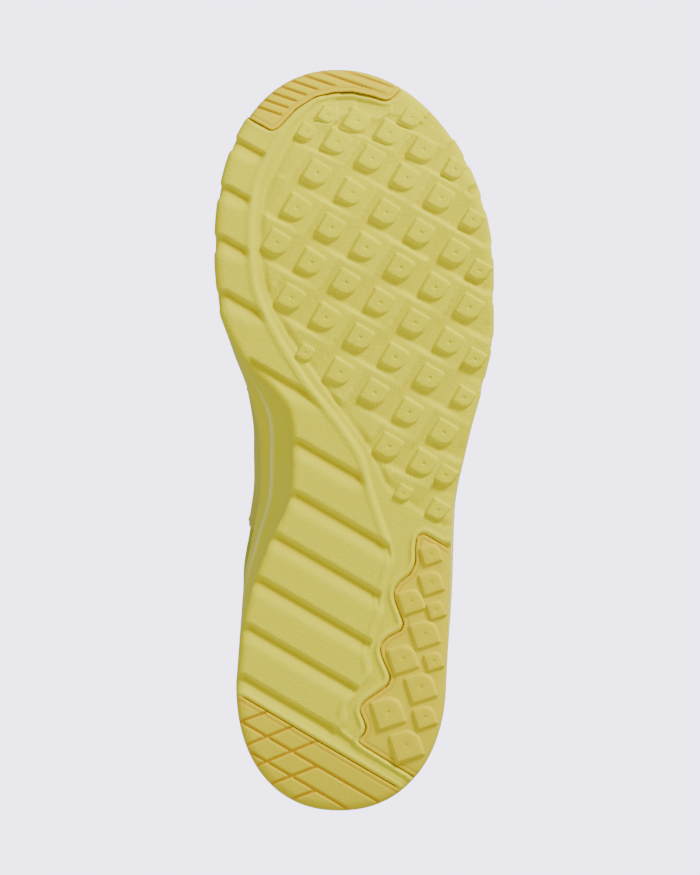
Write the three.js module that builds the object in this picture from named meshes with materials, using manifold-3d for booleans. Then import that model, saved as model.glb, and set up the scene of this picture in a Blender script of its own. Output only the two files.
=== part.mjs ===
// Left running shoe, standing on its sole. Millimetres.
// +Z up, toe towards -Y, heel towards +Y, lateral side +X, medial side -X.
// Origin: on the ground, under the middle of the sole's length and width.

import * as THREE from 'three';
import { mergeVertices } from 'three/addons/utils/BufferGeometryUtils.js';
import Module from 'manifold-3d';

const wasm = await Module();
wasm.setup();

// ---------------------------------------------------------------- driving dimensions

const SOLE_LENGTH = 300;
const FOREFOOT_WIDTH = 111.4;

const TOE_SPRING = 14;
const TOE_SPRING_START = -68;
const HEEL_BEVEL = 5;
const HEEL_BEVEL_START = 104;

const TREAD_THICKNESS = 6.5;
const RELIEF_DEPTH = 2.4;
const BOND_GAP = 0.3;

const LUG_SIZE = 8.6;
const LUG_DRAFT = 1.0;
const LUG_PITCH_ALONG = 16.1;
const LUG_PITCH_ACROSS = 16.3;
const LUG_TURN = 30;

const RIB_PITCH = 21.5;
const RIB_GROOVE_WIDTH = 5.8;

const INSERT_DEPTH = 3.6;
const INSERT_CLEARANCE = 0.3;
const INSERT_GROOVE_WIDTH = 0.9;
const INSERT_GROOVE_DEPTH = 1.0;
const HEEL_LUG_SIZE = 11.5;
const HEEL_LUG_HEIGHT = 1.4;

const RIM_THICKNESS = 3.2;
const RIM_CLEARANCE = 0.3;
const UPPER_STANDS_STRAIGHT = 2.5;

const BOARD_THICKNESS = 1.5;
const SOCKLINER_THICKNESS = 4.5;
const SOCKLINER_RIM_HEIGHT = 3;

const LINING_THICKNESS = 0.9;
const STIFFENER_THICKNESS = 1.0;
const SHELL_THICKNESS = 1.2;
const OVERLAY_THICKNESS = 0.8;
const LAYER_GAP = 0.3;
const OVERLAY_GAP = 0.5;

const COLLAR_FOAM_THICKNESS = 5;
const COLLAR_BINDING_HEIGHT = 3.5;
const TONGUE_THICKNESS = 7;
const TONGUE_EDGE_THICKNESS = 2.6;
const TONGUE_FLAP_CLEARANCE = 2;
const TONGUE_TOP_HEIGHT = 126;
const TONGUE_FOLD_HEIGHT = 105;
const EYELET_RADIUS = 2.6;
const EYELET_COUNT = 6;

// Columns and rows of the facets. Every layer shares them, so that neighbours stay parallel.
const STATIONS = 26;
const THROAT = 10 / STATIONS;
const STRAIGHT_SHARE = 0.2;
const RISES = [0, STRAIGHT_SHARE, 0.33, 0.48, 0.64, 0.82, 1];

// The pattern below is drawn for this sole and graded to the sizes above.
const PATTERN_LENGTH = 300;
const PATTERN_WIDTH = 111.4;
const along = (y) => y * SOLE_LENGTH / PATTERN_LENGTH;
const across = (x) => x * FOREFOOT_WIDTH / PATTERN_WIDTH;

// ---------------------------------------------------------------- curves

// A smooth curve y(x) through a few points, which never overshoots them.
function smooth(points) {
  const n = points.length;
  const slope = [];
  for (let i = 0; i < n - 1; i++) {
    slope.push((points[i + 1][1] - points[i][1]) / (points[i + 1][0] - points[i][0]));
  }
  const tangent = points.map((_, i) => {
    if (i === 0) return slope[0];
    if (i === n - 1) return slope[n - 2];
    if (slope[i - 1] * slope[i] <= 0) return 0;
    return 2 * slope[i - 1] * slope[i] / (slope[i - 1] + slope[i]);
  });
  return (x) => {
    const u = THREE.MathUtils.clamp(x, points[0][0], points[n - 1][0]);
    let i = 0;
    while (i < n - 2 && u > points[i + 1][0]) i++;
    const h = points[i + 1][0] - points[i][0];
    const t = (u - points[i][0]) / h;
    const t2 = t * t;
    const t3 = t2 * t;
    return (2 * t3 - 3 * t2 + 1) * points[i][1] + (t3 - 2 * t2 + t) * h * tangent[i]
      + (3 * t2 - 2 * t3) * points[i + 1][1] + (t3 - t2) * h * tangent[i + 1];
  };
}

// Quarter of a superellipse: 0 at the tip, 1 where the round end meets the sides.
function roundEnd(share, power) {
  const from = 1 - THREE.MathUtils.clamp(share, 0, 1);
  return Math.pow(1 - Math.pow(from, power), 1 / power);
}

// ---------------------------------------------------------------- plan of the sole

const TOE_ROUND = { from: -69, tip: -150, centre: -7, power: 2.1 };
const HEEL_ROUND = { from: 98, tip: 150, centre: -6.2, power: 2.2 };

const LATERAL_TOP = smooth([[-69, 55.7], [-45, 55.7], [-20, 50.9], [4, 45.2], [29, 40.9],
  [60, 39.9], [98, 36.9]]);
const LATERAL_TREAD = smooth([[-69, 55.7], [-45, 55.7], [-20, 50.9], [4, 44.9], [29, 39.6],
  [60, 38.4], [98, 36.9]]);
const MEDIAL_TOP = smooth([[-69, 55.7], [-52, 54.1], [-36, 49.5], [-20, 43.5], [0, 38.8],
  [16, 38.3], [40, 41.8], [57, 45.1], [98, 47.6]]);
const MEDIAL_TREAD = smooth([[-69, 55.7], [-52, 54.1], [-36, 47.5], [-28, 42.2], [-19, 33],
  [-10, 26.8], [0, 25.4], [21, 26.1], [39, 33.4], [57, 40.7], [75, 45.2], [98, 47.6]]);
const CENTRE = smooth([[-150, -7], [-100, -2.4], [-69, 0], [0, -1], [50, -3.5], [98, -5.4],
  [150, -6.2]]);

// Distance of the sole's edge from x = 0 on one side, at a level from tread (0) to rim (1).
function edgeAt(side, y, level) {
  const tread = side > 0 ? LATERAL_TREAD : MEDIAL_TREAD;
  const top = side > 0 ? LATERAL_TOP : MEDIAL_TOP;
  return side * THREE.MathUtils.lerp(tread(y), top(y), level);
}

// A point of the outline. Station 0 is the toe tip, 1 the heel tip; side is +1 lateral, -1 medial.
function outlinePoint(station, side, level) {
  const y = -Math.cos(Math.PI * station) * PATTERN_LENGTH / 2;
  let x;
  if (y < TOE_ROUND.from) {
    const share = (y - TOE_ROUND.tip) / (TOE_ROUND.from - TOE_ROUND.tip);
    const middle = TOE_ROUND.centre * Math.pow(1 - share, 1.3);
    x = middle + edgeAt(side, TOE_ROUND.from, level) * roundEnd(share, TOE_ROUND.power);
  } else if (y > HEEL_ROUND.from) {
    const share = (HEEL_ROUND.tip - y) / (HEEL_ROUND.tip - HEEL_ROUND.from);
    const reach = edgeAt(side, HEEL_ROUND.from, level);
    const middle = (edgeAt(1, HEEL_ROUND.from, level) + edgeAt(-1, HEEL_ROUND.from, level)) / 2;
    const shift = THREE.MathUtils.lerp(HEEL_ROUND.centre, middle, share);
    x = shift + (reach - middle) * roundEnd(share, HEEL_ROUND.power);
  } else {
    x = edgeAt(side, y, level);
  }
  return new THREE.Vector2(across(x), along(y));
}

// A place on the way round the shoe: 0 toe tip, 0 to 1 lateral, 1 heel tip, 1 to 2 medial.
function roundPlace(turn) {
  const t = ((turn % 2) + 2) % 2;
  return t <= 1 ? { station: t, side: 1 } : { station: 2 - t, side: -1 };
}

function outlineAt(turn, level) {
  const { station, side } = roundPlace(turn);
  return outlinePoint(station, side, level);
}

// Horizontal direction straight out of the outline.
function outwardAt(turn, level) {
  const step = 0.004;
  const before = outlineAt(turn - step, level);
  const after = outlineAt(turn + step, level);
  const tangent = after.sub(before).normalize();
  return new THREE.Vector2(tangent.y, -tangent.x);
}

function insetAt(turn, level, inset) {
  return outlineAt(turn, level).addScaledVector(outwardAt(turn, level), -inset);
}

// ---------------------------------------------------------------- heights of the sole

// How far the ground side curls up at the toe and the heel.
function curl(y) {
  const toe = Math.max(0, (along(TOE_SPRING_START) - y) / along(150 + TOE_SPRING_START));
  const heel = Math.max(0, (y - along(HEEL_BEVEL_START)) / along(150 - HEEL_BEVEL_START));
  return TOE_SPRING * Math.pow(toe, 2.1) + HEEL_BEVEL * Math.pow(heel, 2.1);
}

const BED_HEIGHT = smooth([[-150, 17], [-60, 17.5], [0, 21], [60, 26], [150, 27.5]]);
const RIM_HEIGHT = smooth([[-150, 33], [-125, 28], [-60, 25.5], [0, 31], [60, 36], [120, 40],
  [150, 43]]);
const bedHeight = (y) => BED_HEIGHT(y * PATTERN_LENGTH / SOLE_LENGTH) + curl(y);
const rimHeight = (y) => RIM_HEIGHT(y * PATTERN_LENGTH / SOLE_LENGTH) + curl(y);

// ---------------------------------------------------------------- solids from points

// A closed geometry from points and triangles, with its faces turned outwards.
function solid(points, triangles) {
  const geometry = new THREE.BufferGeometry();
  const flat = points.flatMap((p) => [p.x, p.y, p.z]);
  geometry.setAttribute('position', new THREE.Float32BufferAttribute(flat, 3));
  let volume = 0;
  for (const [a, b, c] of triangles) {
    volume += points[a].dot(new THREE.Vector3().crossVectors(points[b], points[c]));
  }
  const faces = volume < 0 ? triangles.map(([a, b, c]) => [a, c, b]) : triangles;
  geometry.setIndex(faces.flat());
  return withoutSlivers(mergeVertices(geometry, 1e-4));
}

// Drops triangles whose corners have merged into one point.
function withoutSlivers(geometry) {
  const index = geometry.index.array;
  const kept = [];
  for (let i = 0; i < index.length; i += 3) {
    const [a, b, c] = [index[i], index[i + 1], index[i + 2]];
    if (a !== b && b !== c && c !== a) kept.push(a, b, c);
  }
  geometry.setIndex(kept);
  return geometry;
}

// A stack of rings of one size, joined by walls. Ring 0 and the last ring are closed by rungs
// that run across from side to side, so both ends can follow the sole's curl.
function ringStack(rings) {
  const count = rings[0].length;
  const half = count / 2;
  const points = rings.flat();
  const triangles = [];
  for (let r = 0; r < rings.length - 1; r++) {
    for (let i = 0; i < count; i++) {
      const a = r * count + i;
      const b = r * count + (i + 1) % count;
      triangles.push([a, b, b + count], [a, b + count, a + count]);
    }
  }
  const rungs = (base, flip) => {
    for (let i = 0; i < half; i++) {
      const quad = [base + i, base + i + 1, base + (count - i - 1) % count, base + (count - i) % count];
      const [a, b, c, d] = flip ? quad.reverse() : quad;
      triangles.push([a, b, c], [a, c, d]);
    }
  };
  rungs(0, true);
  rungs((rings.length - 1) * count, false);
  return solid(points, triangles);
}

// A bent sheet between two grids of points of one size. Welded edges get no rim.
function sheet(outer, inner, { weldTop = false } = {}) {
  const rows = outer.length;
  const columns = outer[0].length;
  const points = [...outer.flat(), ...inner.flat()];
  const shift = rows * columns;
  const at = (i, j) => i * columns + j;
  const triangles = [];
  const quad = (a, b, c, d) => triangles.push([a, b, c], [a, c, d]);
  for (let i = 0; i < rows - 1; i++) {
    for (let j = 0; j < columns - 1; j++) {
      quad(at(i, j), at(i + 1, j), at(i + 1, j + 1), at(i, j + 1));
      quad(shift + at(i, j), shift + at(i, j + 1), shift + at(i + 1, j + 1), shift + at(i + 1, j));
    }
    quad(at(i, 0), shift + at(i, 0), shift + at(i + 1, 0), at(i + 1, 0));
    if (!weldTop) {
      const j = columns - 1;
      quad(at(i, j), at(i + 1, j), shift + at(i + 1, j), shift + at(i, j));
    }
  }
  for (let j = 0; j < columns - 1; j++) {
    const i = rows - 1;
    quad(at(0, j), at(0, j + 1), shift + at(0, j + 1), shift + at(0, j));
    quad(at(i, j), shift + at(i, j), shift + at(i, j + 1), at(i, j + 1));
  }
  return solid(points, triangles);
}

// A straight prism, or a drafted one whose lower outline is given apart. z0 is the lower face.
function prism(outline, z0, z1, lower = outline) {
  const count = outline.length;
  const clockwise = THREE.ShapeUtils.isClockWise(outline);
  const ring = (points, z) => {
    const lifted = points.map((p) => new THREE.Vector3(p.x, p.y, z));
    return clockwise ? lifted.reverse() : lifted;
  };
  const points = [...ring(lower, z0), ...ring(outline, z1)];
  const triangles = [];
  for (const [a, b, c] of THREE.ShapeUtils.triangulateShape(points.slice(count), [])) {
    triangles.push([a, c, b], [a + count, b + count, c + count]);
  }
  for (let i = 0; i < count; i++) {
    const j = (i + 1) % count;
    triangles.push([i, j, j + count], [i, j + count, i + count]);
  }
  return solid(points, triangles);
}

// ---------------------------------------------------------------- joining and cutting

function toManifold(geometry) {
  return new wasm.Manifold(new wasm.Mesh({
    numProp: 3,
    vertProperties: new Float32Array(geometry.attributes.position.array),
    triVerts: new Uint32Array(geometry.index.array),
  }));
}

function fromManifold(manifold) {
  const mesh = manifold.getMesh();
  const geometry = new THREE.BufferGeometry();
  geometry.setAttribute('position', new THREE.Float32BufferAttribute(mesh.vertProperties, 3));
  geometry.setIndex([...mesh.triVerts]);
  return geometry;
}

function joined(geometries) {
  return geometries.map(toManifold).reduce((all, next) => all.add(next));
}

// Cuts every triangle of a geometry where it crosses the planes y = place.
function slicedAcross(geometry, places) {
  const source = geometry.attributes.position;
  const points = [];
  for (let i = 0; i < source.count; i++) points.push(new THREE.Vector3().fromBufferAttribute(source, i));
  let triangles = [];
  for (let i = 0; i < geometry.index.count; i += 3) {
    triangles.push([0, 1, 2].map((k) => geometry.index.getX(i + k)));
  }
  for (const place of places) triangles = slicedOnce(points, triangles, place);
  return solid(points, triangles);
}

function slicedOnce(points, triangles, place) {
  const near = 1e-3;
  const sideOf = (i) => {
    const d = points[i].y - place;
    return Math.abs(d) < near ? 0 : Math.sign(d);
  };
  const cuts = new Map();
  const cut = (a, b) => {
    const [low, high] = a < b ? [a, b] : [b, a];
    const key = `${low}_${high}`;
    if (!cuts.has(key)) {
      const share = (place - points[low].y) / (points[high].y - points[low].y);
      points.push(points[low].clone().lerp(points[high], share));
      cuts.set(key, points.length - 1);
    }
    return cuts.get(key);
  };
  const result = [];
  for (const triangle of triangles) {
    const sides = triangle.map(sideOf);
    if (!(sides.includes(1) && sides.includes(-1))) {
      result.push(triangle);
      continue;
    }
    const parts = { 1: [], '-1': [] };
    for (let k = 0; k < 3; k++) {
      const a = triangle[k];
      const b = triangle[(k + 1) % 3];
      if (sides[k] === 0) {
        parts[1].push(a);
        parts['-1'].push(a);
      } else {
        parts[sides[k]].push(a);
      }
      if (sides[k] * sides[(k + 1) % 3] < 0) {
        const c = cut(a, b);
        parts[1].push(c);
        parts['-1'].push(c);
      }
    }
    for (const ring of [parts[1], parts['-1']]) {
      for (let k = 1; k < ring.length - 1; k++) result.push([ring[0], ring[k], ring[k + 1]]);
    }
  }
  return result;
}

// Planes that let a flat solid follow the curl at the toe and the heel.
function curlPlanes() {
  const step = 13;
  const places = [];
  for (let y = along(TOE_SPRING_START); y > -SOLE_LENGTH / 2; y -= step) places.push(y);
  for (let y = along(HEEL_BEVEL_START); y < SOLE_LENGTH / 2; y += step) places.push(y);
  return places;
}

function curledUp(manifold) {
  const geometry = slicedAcross(fromManifold(manifold), curlPlanes());
  const position = geometry.attributes.position;
  for (let i = 0; i < position.count; i++) {
    position.setZ(i, position.getZ(i) + curl(position.getY(i)));
  }
  return geometry;
}

// ---------------------------------------------------------------- rings of the sole

function soleRing(level, inset, heightAt) {
  const ring = [];
  for (let i = 0; i < 2 * STATIONS; i++) {
    const p = insetAt(i / STATIONS, level, inset);
    ring.push(new THREE.Vector3(p.x, p.y, heightAt(p.y)));
  }
  return ring;
}

function flatSlab(level, inset, z0, z1) {
  return ringStack([soleRing(level, inset, () => z0), soleRing(level, inset, () => z1)]);
}

function plan(points) {
  return points.map(([x, y]) => new THREE.Vector2(across(x), along(y)));
}

function grownOutline(outline, distance) {
  const turn = THREE.ShapeUtils.isClockWise(outline) ? -1 : 1;
  return outline.map((p, i) => {
    const before = outline[(i + outline.length - 1) % outline.length];
    const after = outline[(i + 1) % outline.length];
    const a = p.clone().sub(before).normalize();
    const b = after.clone().sub(p).normalize();
    const normal = new THREE.Vector2(a.y + b.y, -a.x - b.x).multiplyScalar(turn).normalize();
    const reach = distance / Math.max(0.5, Math.abs(normal.x * a.y - normal.y * a.x));
    return p.clone().addScaledVector(normal, reach);
  });
}

// ---------------------------------------------------------------- tread: regions

const OUTSIDE = 80;

// The raised ridge that parts the medial rail and ribs from the lug field, toe to heel.
const RIDGE = [[-13, -140], [-26, -128], [-32, -119], [-39.5, -104.5], [-41.6, -89], [-41.6, -76],
  [-40, -61.5], [-36, -51], [-30, -39.5], [-19.3, -22.5], [-6.7, -7], [2.6, 6.3], [7.1, 23.7],
  [14, 43.2]];
const RIB_ENDS = [[14.8, 48.5], [9.5, 65], [10.7, 70], [8.3, 75], [4.7, 87.5], [5.9, 94.5],
  [2.2, 98.5], [-4.5, 107.5], [-4.3, 113], [-7.5, 117]];
const HEEL_RAIL = [[2, 124.5], [18.5, 135.5], [34, 143]];

const TOE_INSERT = [[-52, -134], [-36.5, -127], [-32.4, -124.8], [-28, -129], [-23.8, -133.7],
  [-16, -138.7], [-8.3, -140.6], [-0.6, -140.8], [7.1, -139.1], [12.6, -137.2], [22, -143],
  [10, -160], [-30, -160]];
const HEEL_LATERAL_INSERT = [[24.9, 39], [27.8, 38], [33, 41], [48, 49], [60, 90], [50, 128],
  [26, 136], [19, 132.8], [3.3, 122.6], [4.9, 116.3], [1.8, 108.4], [3.4, 106.4], [13.4, 99.5],
  [14.8, 96.3], [10.7, 86.6], [13.4, 79.9], [20.1, 74.8], [16, 63.9], [18, 57.8], [22.5, 54.5],
  [25.2, 49.5]];
const HEEL_REAR_INSERT = [[-60, 95.1], [-46.4, 103.2], [18.4, 141.3], [30, 148], [30, 165],
  [-60, 165]];

function railRegion() {
  return plan([[-OUTSIDE, -160], [-13, -160], ...RIDGE, ...RIB_ENDS, ...HEEL_RAIL, [34, 165],
    [-OUTSIDE, 165]]);
}

// Saw-tooth grooves between the ribs: steep on the toe side, ramping back on the heel side.
function ribGrooves() {
  const ends = [-37.5, -36, -31, -21.5, -8, 2.5, 10.5, 5.5, 1.5, -2.5, -9.5];
  const depth = RELIEF_DEPTH + 0.4;
  const slope = Math.tan(THREE.MathUtils.degToRad(LUG_TURN));
  return ends.map((end, i) => {
    const yAt = (x) => -94 + i * RIB_PITCH + x * slope;
    const corner = (x, dy, z) => new THREE.Vector3(across(x), along(yAt(x)) + dy, z);
    const left = -OUTSIDE;
    const points = [left, end].flatMap((x) => [
      corner(x, 0, -1), corner(x, 0.6, depth), corner(x, RIB_GROOVE_WIDTH + 2.5, -1)]);
    return solid(points, [[0, 1, 2], [3, 5, 4], [0, 3, 4], [0, 4, 1], [1, 4, 5], [1, 5, 2],
      [2, 5, 3], [2, 3, 0]]);
  });
}

// ---------------------------------------------------------------- tread: lugs

const FIELD_ORIGIN = [10.5, -55.2];
const FIELD_CENTRE = [0, -60];
const FIELD_CALM_RADIUS = 50;
const FIELD_CROWDING = 96;
const WAIST_SHARE = 0.85;
const EDGE_LUG_SHARE = 0.8;
const LEAST_LUG_SPACING = 10.2;
const FIELD_EDGE = [[-8, -138], [-24, -124.5], [-30, -114], [-36, -101], [-38, -86], [-37.5, -72],
  [-34.5, -58], [-27, -45], [-15, -29], [-5, -17], [5, -2], [12, 14], [22, 24.5], [39, 35]];

// A D-shaped lug outline: three crisp corners and one heavily rounded, heelward, corner.
function lugOutline(centre, size, turn, roundShare) {
  const h = size / 2;
  const r = size * roundShare;
  const local = [[-h, h], [-h, -h], [h, -h]];
  for (let i = 0; i <= 2; i++) {
    const a = i / 2 * Math.PI / 2;
    local.push([h - r + r * Math.cos(a), h - r + r * Math.sin(a)]);
  }
  const c = Math.cos(turn);
  const s = Math.sin(turn);
  return local.map(([u, v]) => new THREE.Vector2(centre.x + u * c - v * s, centre.y + u * s + v * c));
}

function insideField(p) {
  const edge = FIELD_EDGE.map(([x, y]) => [along(y), across(x)]);
  const border = smooth(edge);
  return p.x > border(p.y) && p.y > edge[0][0] && p.y < along(30) + p.x * 0.1;
}

// How far a point of the plan is inside the outline.
function edgeClearance(p) {
  let nearest = Infinity;
  for (let i = 0; i < 120; i++) {
    const q = outlineAt(i / 60, 0);
    nearest = Math.min(nearest, q.distanceTo(p));
  }
  return nearest;
}

// Lug centres: a turned square lattice that crowds together towards the toe and the edges.
function lugPlaces() {
  const turn = THREE.MathUtils.degToRad(LUG_TURN);
  const a = new THREE.Vector2(Math.cos(turn), Math.sin(turn)).multiplyScalar(LUG_PITCH_ALONG);
  const b = new THREE.Vector2(-Math.sin(turn), Math.cos(turn)).multiplyScalar(LUG_PITCH_ACROSS);
  const origin = new THREE.Vector2(across(FIELD_ORIGIN[0]), along(FIELD_ORIGIN[1]));
  const centre = new THREE.Vector2(across(FIELD_CENTRE[0]), along(FIELD_CENTRE[1]));
  const places = [];
  for (let j = 6; j >= -5; j--) {
    for (let i = 8; i >= -8; i--) {
      const p = origin.clone().addScaledVector(a, i).addScaledVector(b, j);
      const out = p.clone().sub(centre);
      const radius = out.length();
      if (p.y < centre.y && radius > FIELD_CALM_RADIUS) {
        p.addScaledVector(out.normalize(), -((radius - FIELD_CALM_RADIUS) ** 2) / FIELD_CROWDING);
      }
      if (p.y > 0) p.y *= WAIST_SHARE;
      if (!insideField(p)) continue;
      const spacing = Math.min(...places.map((other) => other.p.distanceTo(p)));
      if (spacing < LEAST_LUG_SPACING) continue;
      const clearance = edgeClearance(p);
      if (clearance < LUG_SIZE / 2 + LUG_DRAFT) continue;
      const size = clearance < LUG_SIZE ? EDGE_LUG_SHARE * LUG_SIZE : LUG_SIZE;
      places.push({ p, size: Math.min(size, spacing - 2.8 * LUG_DRAFT) });
    }
  }
  return places;
}

function draftedLug(centre, size, turn, z0, z1) {
  const foot = lugOutline(centre, size + 2 * LUG_DRAFT, turn, 0.42);
  const top = lugOutline(centre, size, turn, 0.42);
  return prism(foot, z0, z1, top);
}

// ---------------------------------------------------------------- tread and inserts

function treadSolid() {
  const turn = THREE.MathUtils.degToRad(LUG_TURN);
  const sink = 0.5;
  const plate = toManifold(flatSlab(0, 0, RELIEF_DEPTH, TREAD_THICKNESS));
  const raised = toManifold(flatSlab(0, 0, 0, RELIEF_DEPTH + sink))
    .intersect(toManifold(prism(railRegion(), -1, RELIEF_DEPTH + 2 * sink)));
  const lugs = lugPlaces().map(({ p, size }) => draftedLug(p, size, turn, 0, RELIEF_DEPTH + sink));
  let body = plate.add(raised.subtract(joined(ribGrooves())));
  const slab = toManifold(flatSlab(0, 0, -1, TREAD_THICKNESS));
  body = body.add(joined(lugs).intersect(slab));
  for (const outline of [TOE_INSERT, HEEL_LATERAL_INSERT, HEEL_REAR_INSERT]) {
    const pocket = grownOutline(plan(outline), INSERT_CLEARANCE);
    body = body.subtract(toManifold(prism(pocket, -2, INSERT_DEPTH + BOND_GAP)));
  }
  return curledUp(body);
}

// A bar for cutting a straight groove between two points of the plan.
function grooveBar([x0, y0], [x1, y1], width, depth) {
  const a = new THREE.Vector2(across(x0), along(y0));
  const b = new THREE.Vector2(across(x1), along(y1));
  const n = b.clone().sub(a).normalize().multiplyScalar(width / 2);
  const side = new THREE.Vector2(-n.y, n.x);
  return prism([a.clone().sub(side), b.clone().sub(side), b.clone().add(side), a.clone().add(side)],
    -1, depth);
}

function insertBlank(outline, face) {
  return toManifold(flatSlab(0, 0, face, INSERT_DEPTH))
    .intersect(toManifold(prism(plan(outline), -2, INSERT_DEPTH + 2)));
}

function toeInsertSolid() {
  const cuts = [];
  for (let i = 0; i < 7; i++) {
    const y = -128.5 - i * 3.9;
    cuts.push(grooveBar([-60, y - 14], [40, y + 21], INSERT_GROOVE_WIDTH, INSERT_GROOVE_DEPTH));
  }
  return curledUp(insertBlank(TOE_INSERT, 0).subtract(joined(cuts)));
}

function heelRearInsertSolid() {
  const long = [[[-60, 105.3], [26, 155.8]], [[-60, 115], [20, 162.5]]];
  const crossing = [[[-48, 114.5], [-33, 109]], [[-46, 124.2], [-23, 115]], [[-42, 132.6], [-12, 120.4]],
    [[-37, 140.3], [-2, 126.7]], [[-28, 146], [8, 132.5]]];
  const cuts = [...long, ...crossing].map(([a, b]) =>
    grooveBar(a, b, INSERT_GROOVE_WIDTH, INSERT_GROOVE_DEPTH));
  return curledUp(insertBlank(HEEL_REAR_INSERT, 0).subtract(joined(cuts)));
}

function heelLateralInsertSolid() {
  const places = [[30.8, 46.2, 0.66], [31, 57.7, 0.76], [22.9, 65.2, 0.8], [32.9, 68.6, 0.58],
    [28.4, 78.4, 0.9], [19.6, 88.4, 0.92], [32, 89.2, 0.6], [26.8, 99.9, 0.95], [13.6, 110, 1.02],
    [28.4, 111.8, 0.72], [20.9, 123.2, 1.02]];
  const face = HEEL_LUG_HEIGHT;
  const blank = insertBlank(HEEL_LATERAL_INSERT, face);
  const turn = THREE.MathUtils.degToRad(-90 - LUG_TURN * 0.6);
  const lugs = places.map(([x, y, share]) => {
    const centre = new THREE.Vector2(across(x), along(y));
    return draftedLug(centre, HEEL_LUG_SIZE * share - 2 * LUG_DRAFT, turn, 0, face + 0.5);
  });
  const inside = toManifold(flatSlab(0, 0.6, -1, INSERT_DEPTH));
  return curledUp(blank.add(joined(lugs).intersect(inside)));
}

// ---------------------------------------------------------------- midsole, board, sockliner

const UPPER_BUILD = LINING_THICKNESS + STIFFENER_THICKNESS + SHELL_THICKNESS
  + OVERLAY_THICKNESS + 2 * LAYER_GAP + OVERLAY_GAP;
const LAST_INSET = RIM_THICKNESS + RIM_CLEARANCE + UPPER_BUILD;

// The cup that carries the foot: flaring walls, a bead under the arch, a rim and a sunk bed.
function midsoleSolid() {
  const base = (y) => TREAD_THICKNESS + BOND_GAP + curl(y);
  const between = (share) => (y) => THREE.MathUtils.lerp(base(y), rimHeight(y), share);
  return ringStack([
    soleRing(0, 0, base),
    soleRing(0.22, -0.2, between(0.2)),
    soleRing(0.62, -0.4, between(0.55)),
    soleRing(1, 0, between(0.9)),
    soleRing(1, 0.8, rimHeight),
    soleRing(1, RIM_THICKNESS, rimHeight),
    soleRing(1, RIM_THICKNESS, bedHeight),
  ]);
}

function boardSolid() {
  const inset = LAST_INSET + LAYER_GAP;
  const low = (y) => bedHeight(y) + BOND_GAP;
  const high = (y) => low(y) + BOARD_THICKNESS;
  return ringStack([soleRing(1, inset, low), soleRing(1, inset, high)]);
}

function sockLinerSolid() {
  const inset = LAST_INSET + 0.6;
  const low = (y) => bedHeight(y) + BOND_GAP + BOARD_THICKNESS + LAYER_GAP;
  const top = (y) => low(y) + SOCKLINER_THICKNESS;
  const lip = (y) => top(y) + SOCKLINER_RIM_HEIGHT * THREE.MathUtils.smoothstep(y, -40, 60);
  return ringStack([soleRing(1, inset + 0.6, low), soleRing(1, inset, top),
    soleRing(1, inset + 0.5, lip), soleRing(1, inset + 3, (y) => (top(y) + lip(y)) / 2),
    soleRing(1, inset + 9, top)]);
}

// ---------------------------------------------------------------- the surface of the foot form

const EYESTAY_END = 15 / STATIONS;

// Top line of the upper, from toe to heel: half width, place along the length, height.
const TOP_HALF_WIDTH = smooth([[THROAT, 0], [0.4, 8], [0.45, 12], [0.5, 15], [0.56, 19.5],
  [0.62, 25], [0.7, 30], [0.8, 26.5], [0.9, 17.5], [0.96, 8], [1, 0]]);
const TOP_ALONG = smooth([[0, -108], [0.2, -95], [0.3, -76], [THROAT, -53], [0.4, -48.5],
  [0.45, -26], [0.5, -2], [0.56, 24], [0.62, 43], [0.7, 76], [0.8, 110], [0.9, 131], [0.96, 136.5],
  [1, 138]]);
const TOP_HEIGHT = smooth([[0, 62], [0.2, 65], [0.3, 69], [THROAT, 75], [0.45, 82], [0.5, 91],
  [0.56, 100], [0.62, 100], [0.7, 86], [0.8, 88], [0.9, 101], [1, 108]]);
const TOP_REACH = smooth([[0, 18], [0.2, 24], [0.3, 28], [THROAT, 28], [0.45, 21], [0.5, 17],
  [0.56, 11], [0.62, 5], [0.7, 2], [0.9, 3], [1, 3.5]]);
const TOP_DROP = smooth([[0, 0], [THROAT, 1], [0.45, 7], [0.5, 12], [0.56, 17], [0.62, 20],
  [0.7, 20], [1, 28]]);
const LATERAL_BULGE = smooth([[0, 5], [0.3, 7], [0.5, 7.5], [0.7, 7], [1, 6]]);
const MEDIAL_BULGE = smooth([[0, 5], [0.3, 7], [0.45, 11], [0.52, 15], [0.6, 11], [0.7, 7.5], [1, 6]]);

function topPoint(station, side) {
  const y = TOP_ALONG(station);
  const half = station <= THROAT ? 0 : TOP_HALF_WIDTH(station);
  return new THREE.Vector3(across(CENTRE(y) + side * half), along(y), TOP_HEIGHT(station));
}

// A point of the foot form. rise is 0 at the board's edge and 1 on the top line.
function formPoint(turn, rise) {
  const { station, side } = roundPlace(turn);
  const foot = insetAt(turn, 1, LAST_INSET);
  const low = bedHeight(insetAt(turn, 1, RIM_THICKNESS).y) + BOND_GAP;
  const knee = rimHeight(foot.y) + UPPER_STANDS_STRAIGHT;
  if (rise < STRAIGHT_SHARE) {
    return new THREE.Vector3(foot.x, foot.y, THREE.MathUtils.lerp(low, knee, rise / STRAIGHT_SHARE));
  }
  const out = outwardAt(turn, 1);
  const bulge = (side > 0 ? LATERAL_BULGE : MEDIAL_BULGE)(station);
  const start = new THREE.Vector3(foot.x, foot.y, knee);
  const end = topPoint(station, side);
  const tall = end.z - knee;
  const first = start.clone().add(new THREE.Vector3(out.x * bulge, out.y * bulge, tall * 0.5));
  const reach = TOP_REACH(station);
  const second = end.clone().add(new THREE.Vector3(out.x * reach, out.y * reach, -TOP_DROP(station)));
  const curve = new THREE.CubicBezierCurve3(start, first, second, end);
  return curve.getPoint((rise - STRAIGHT_SHARE) / (1 - STRAIGHT_SHARE));
}

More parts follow.
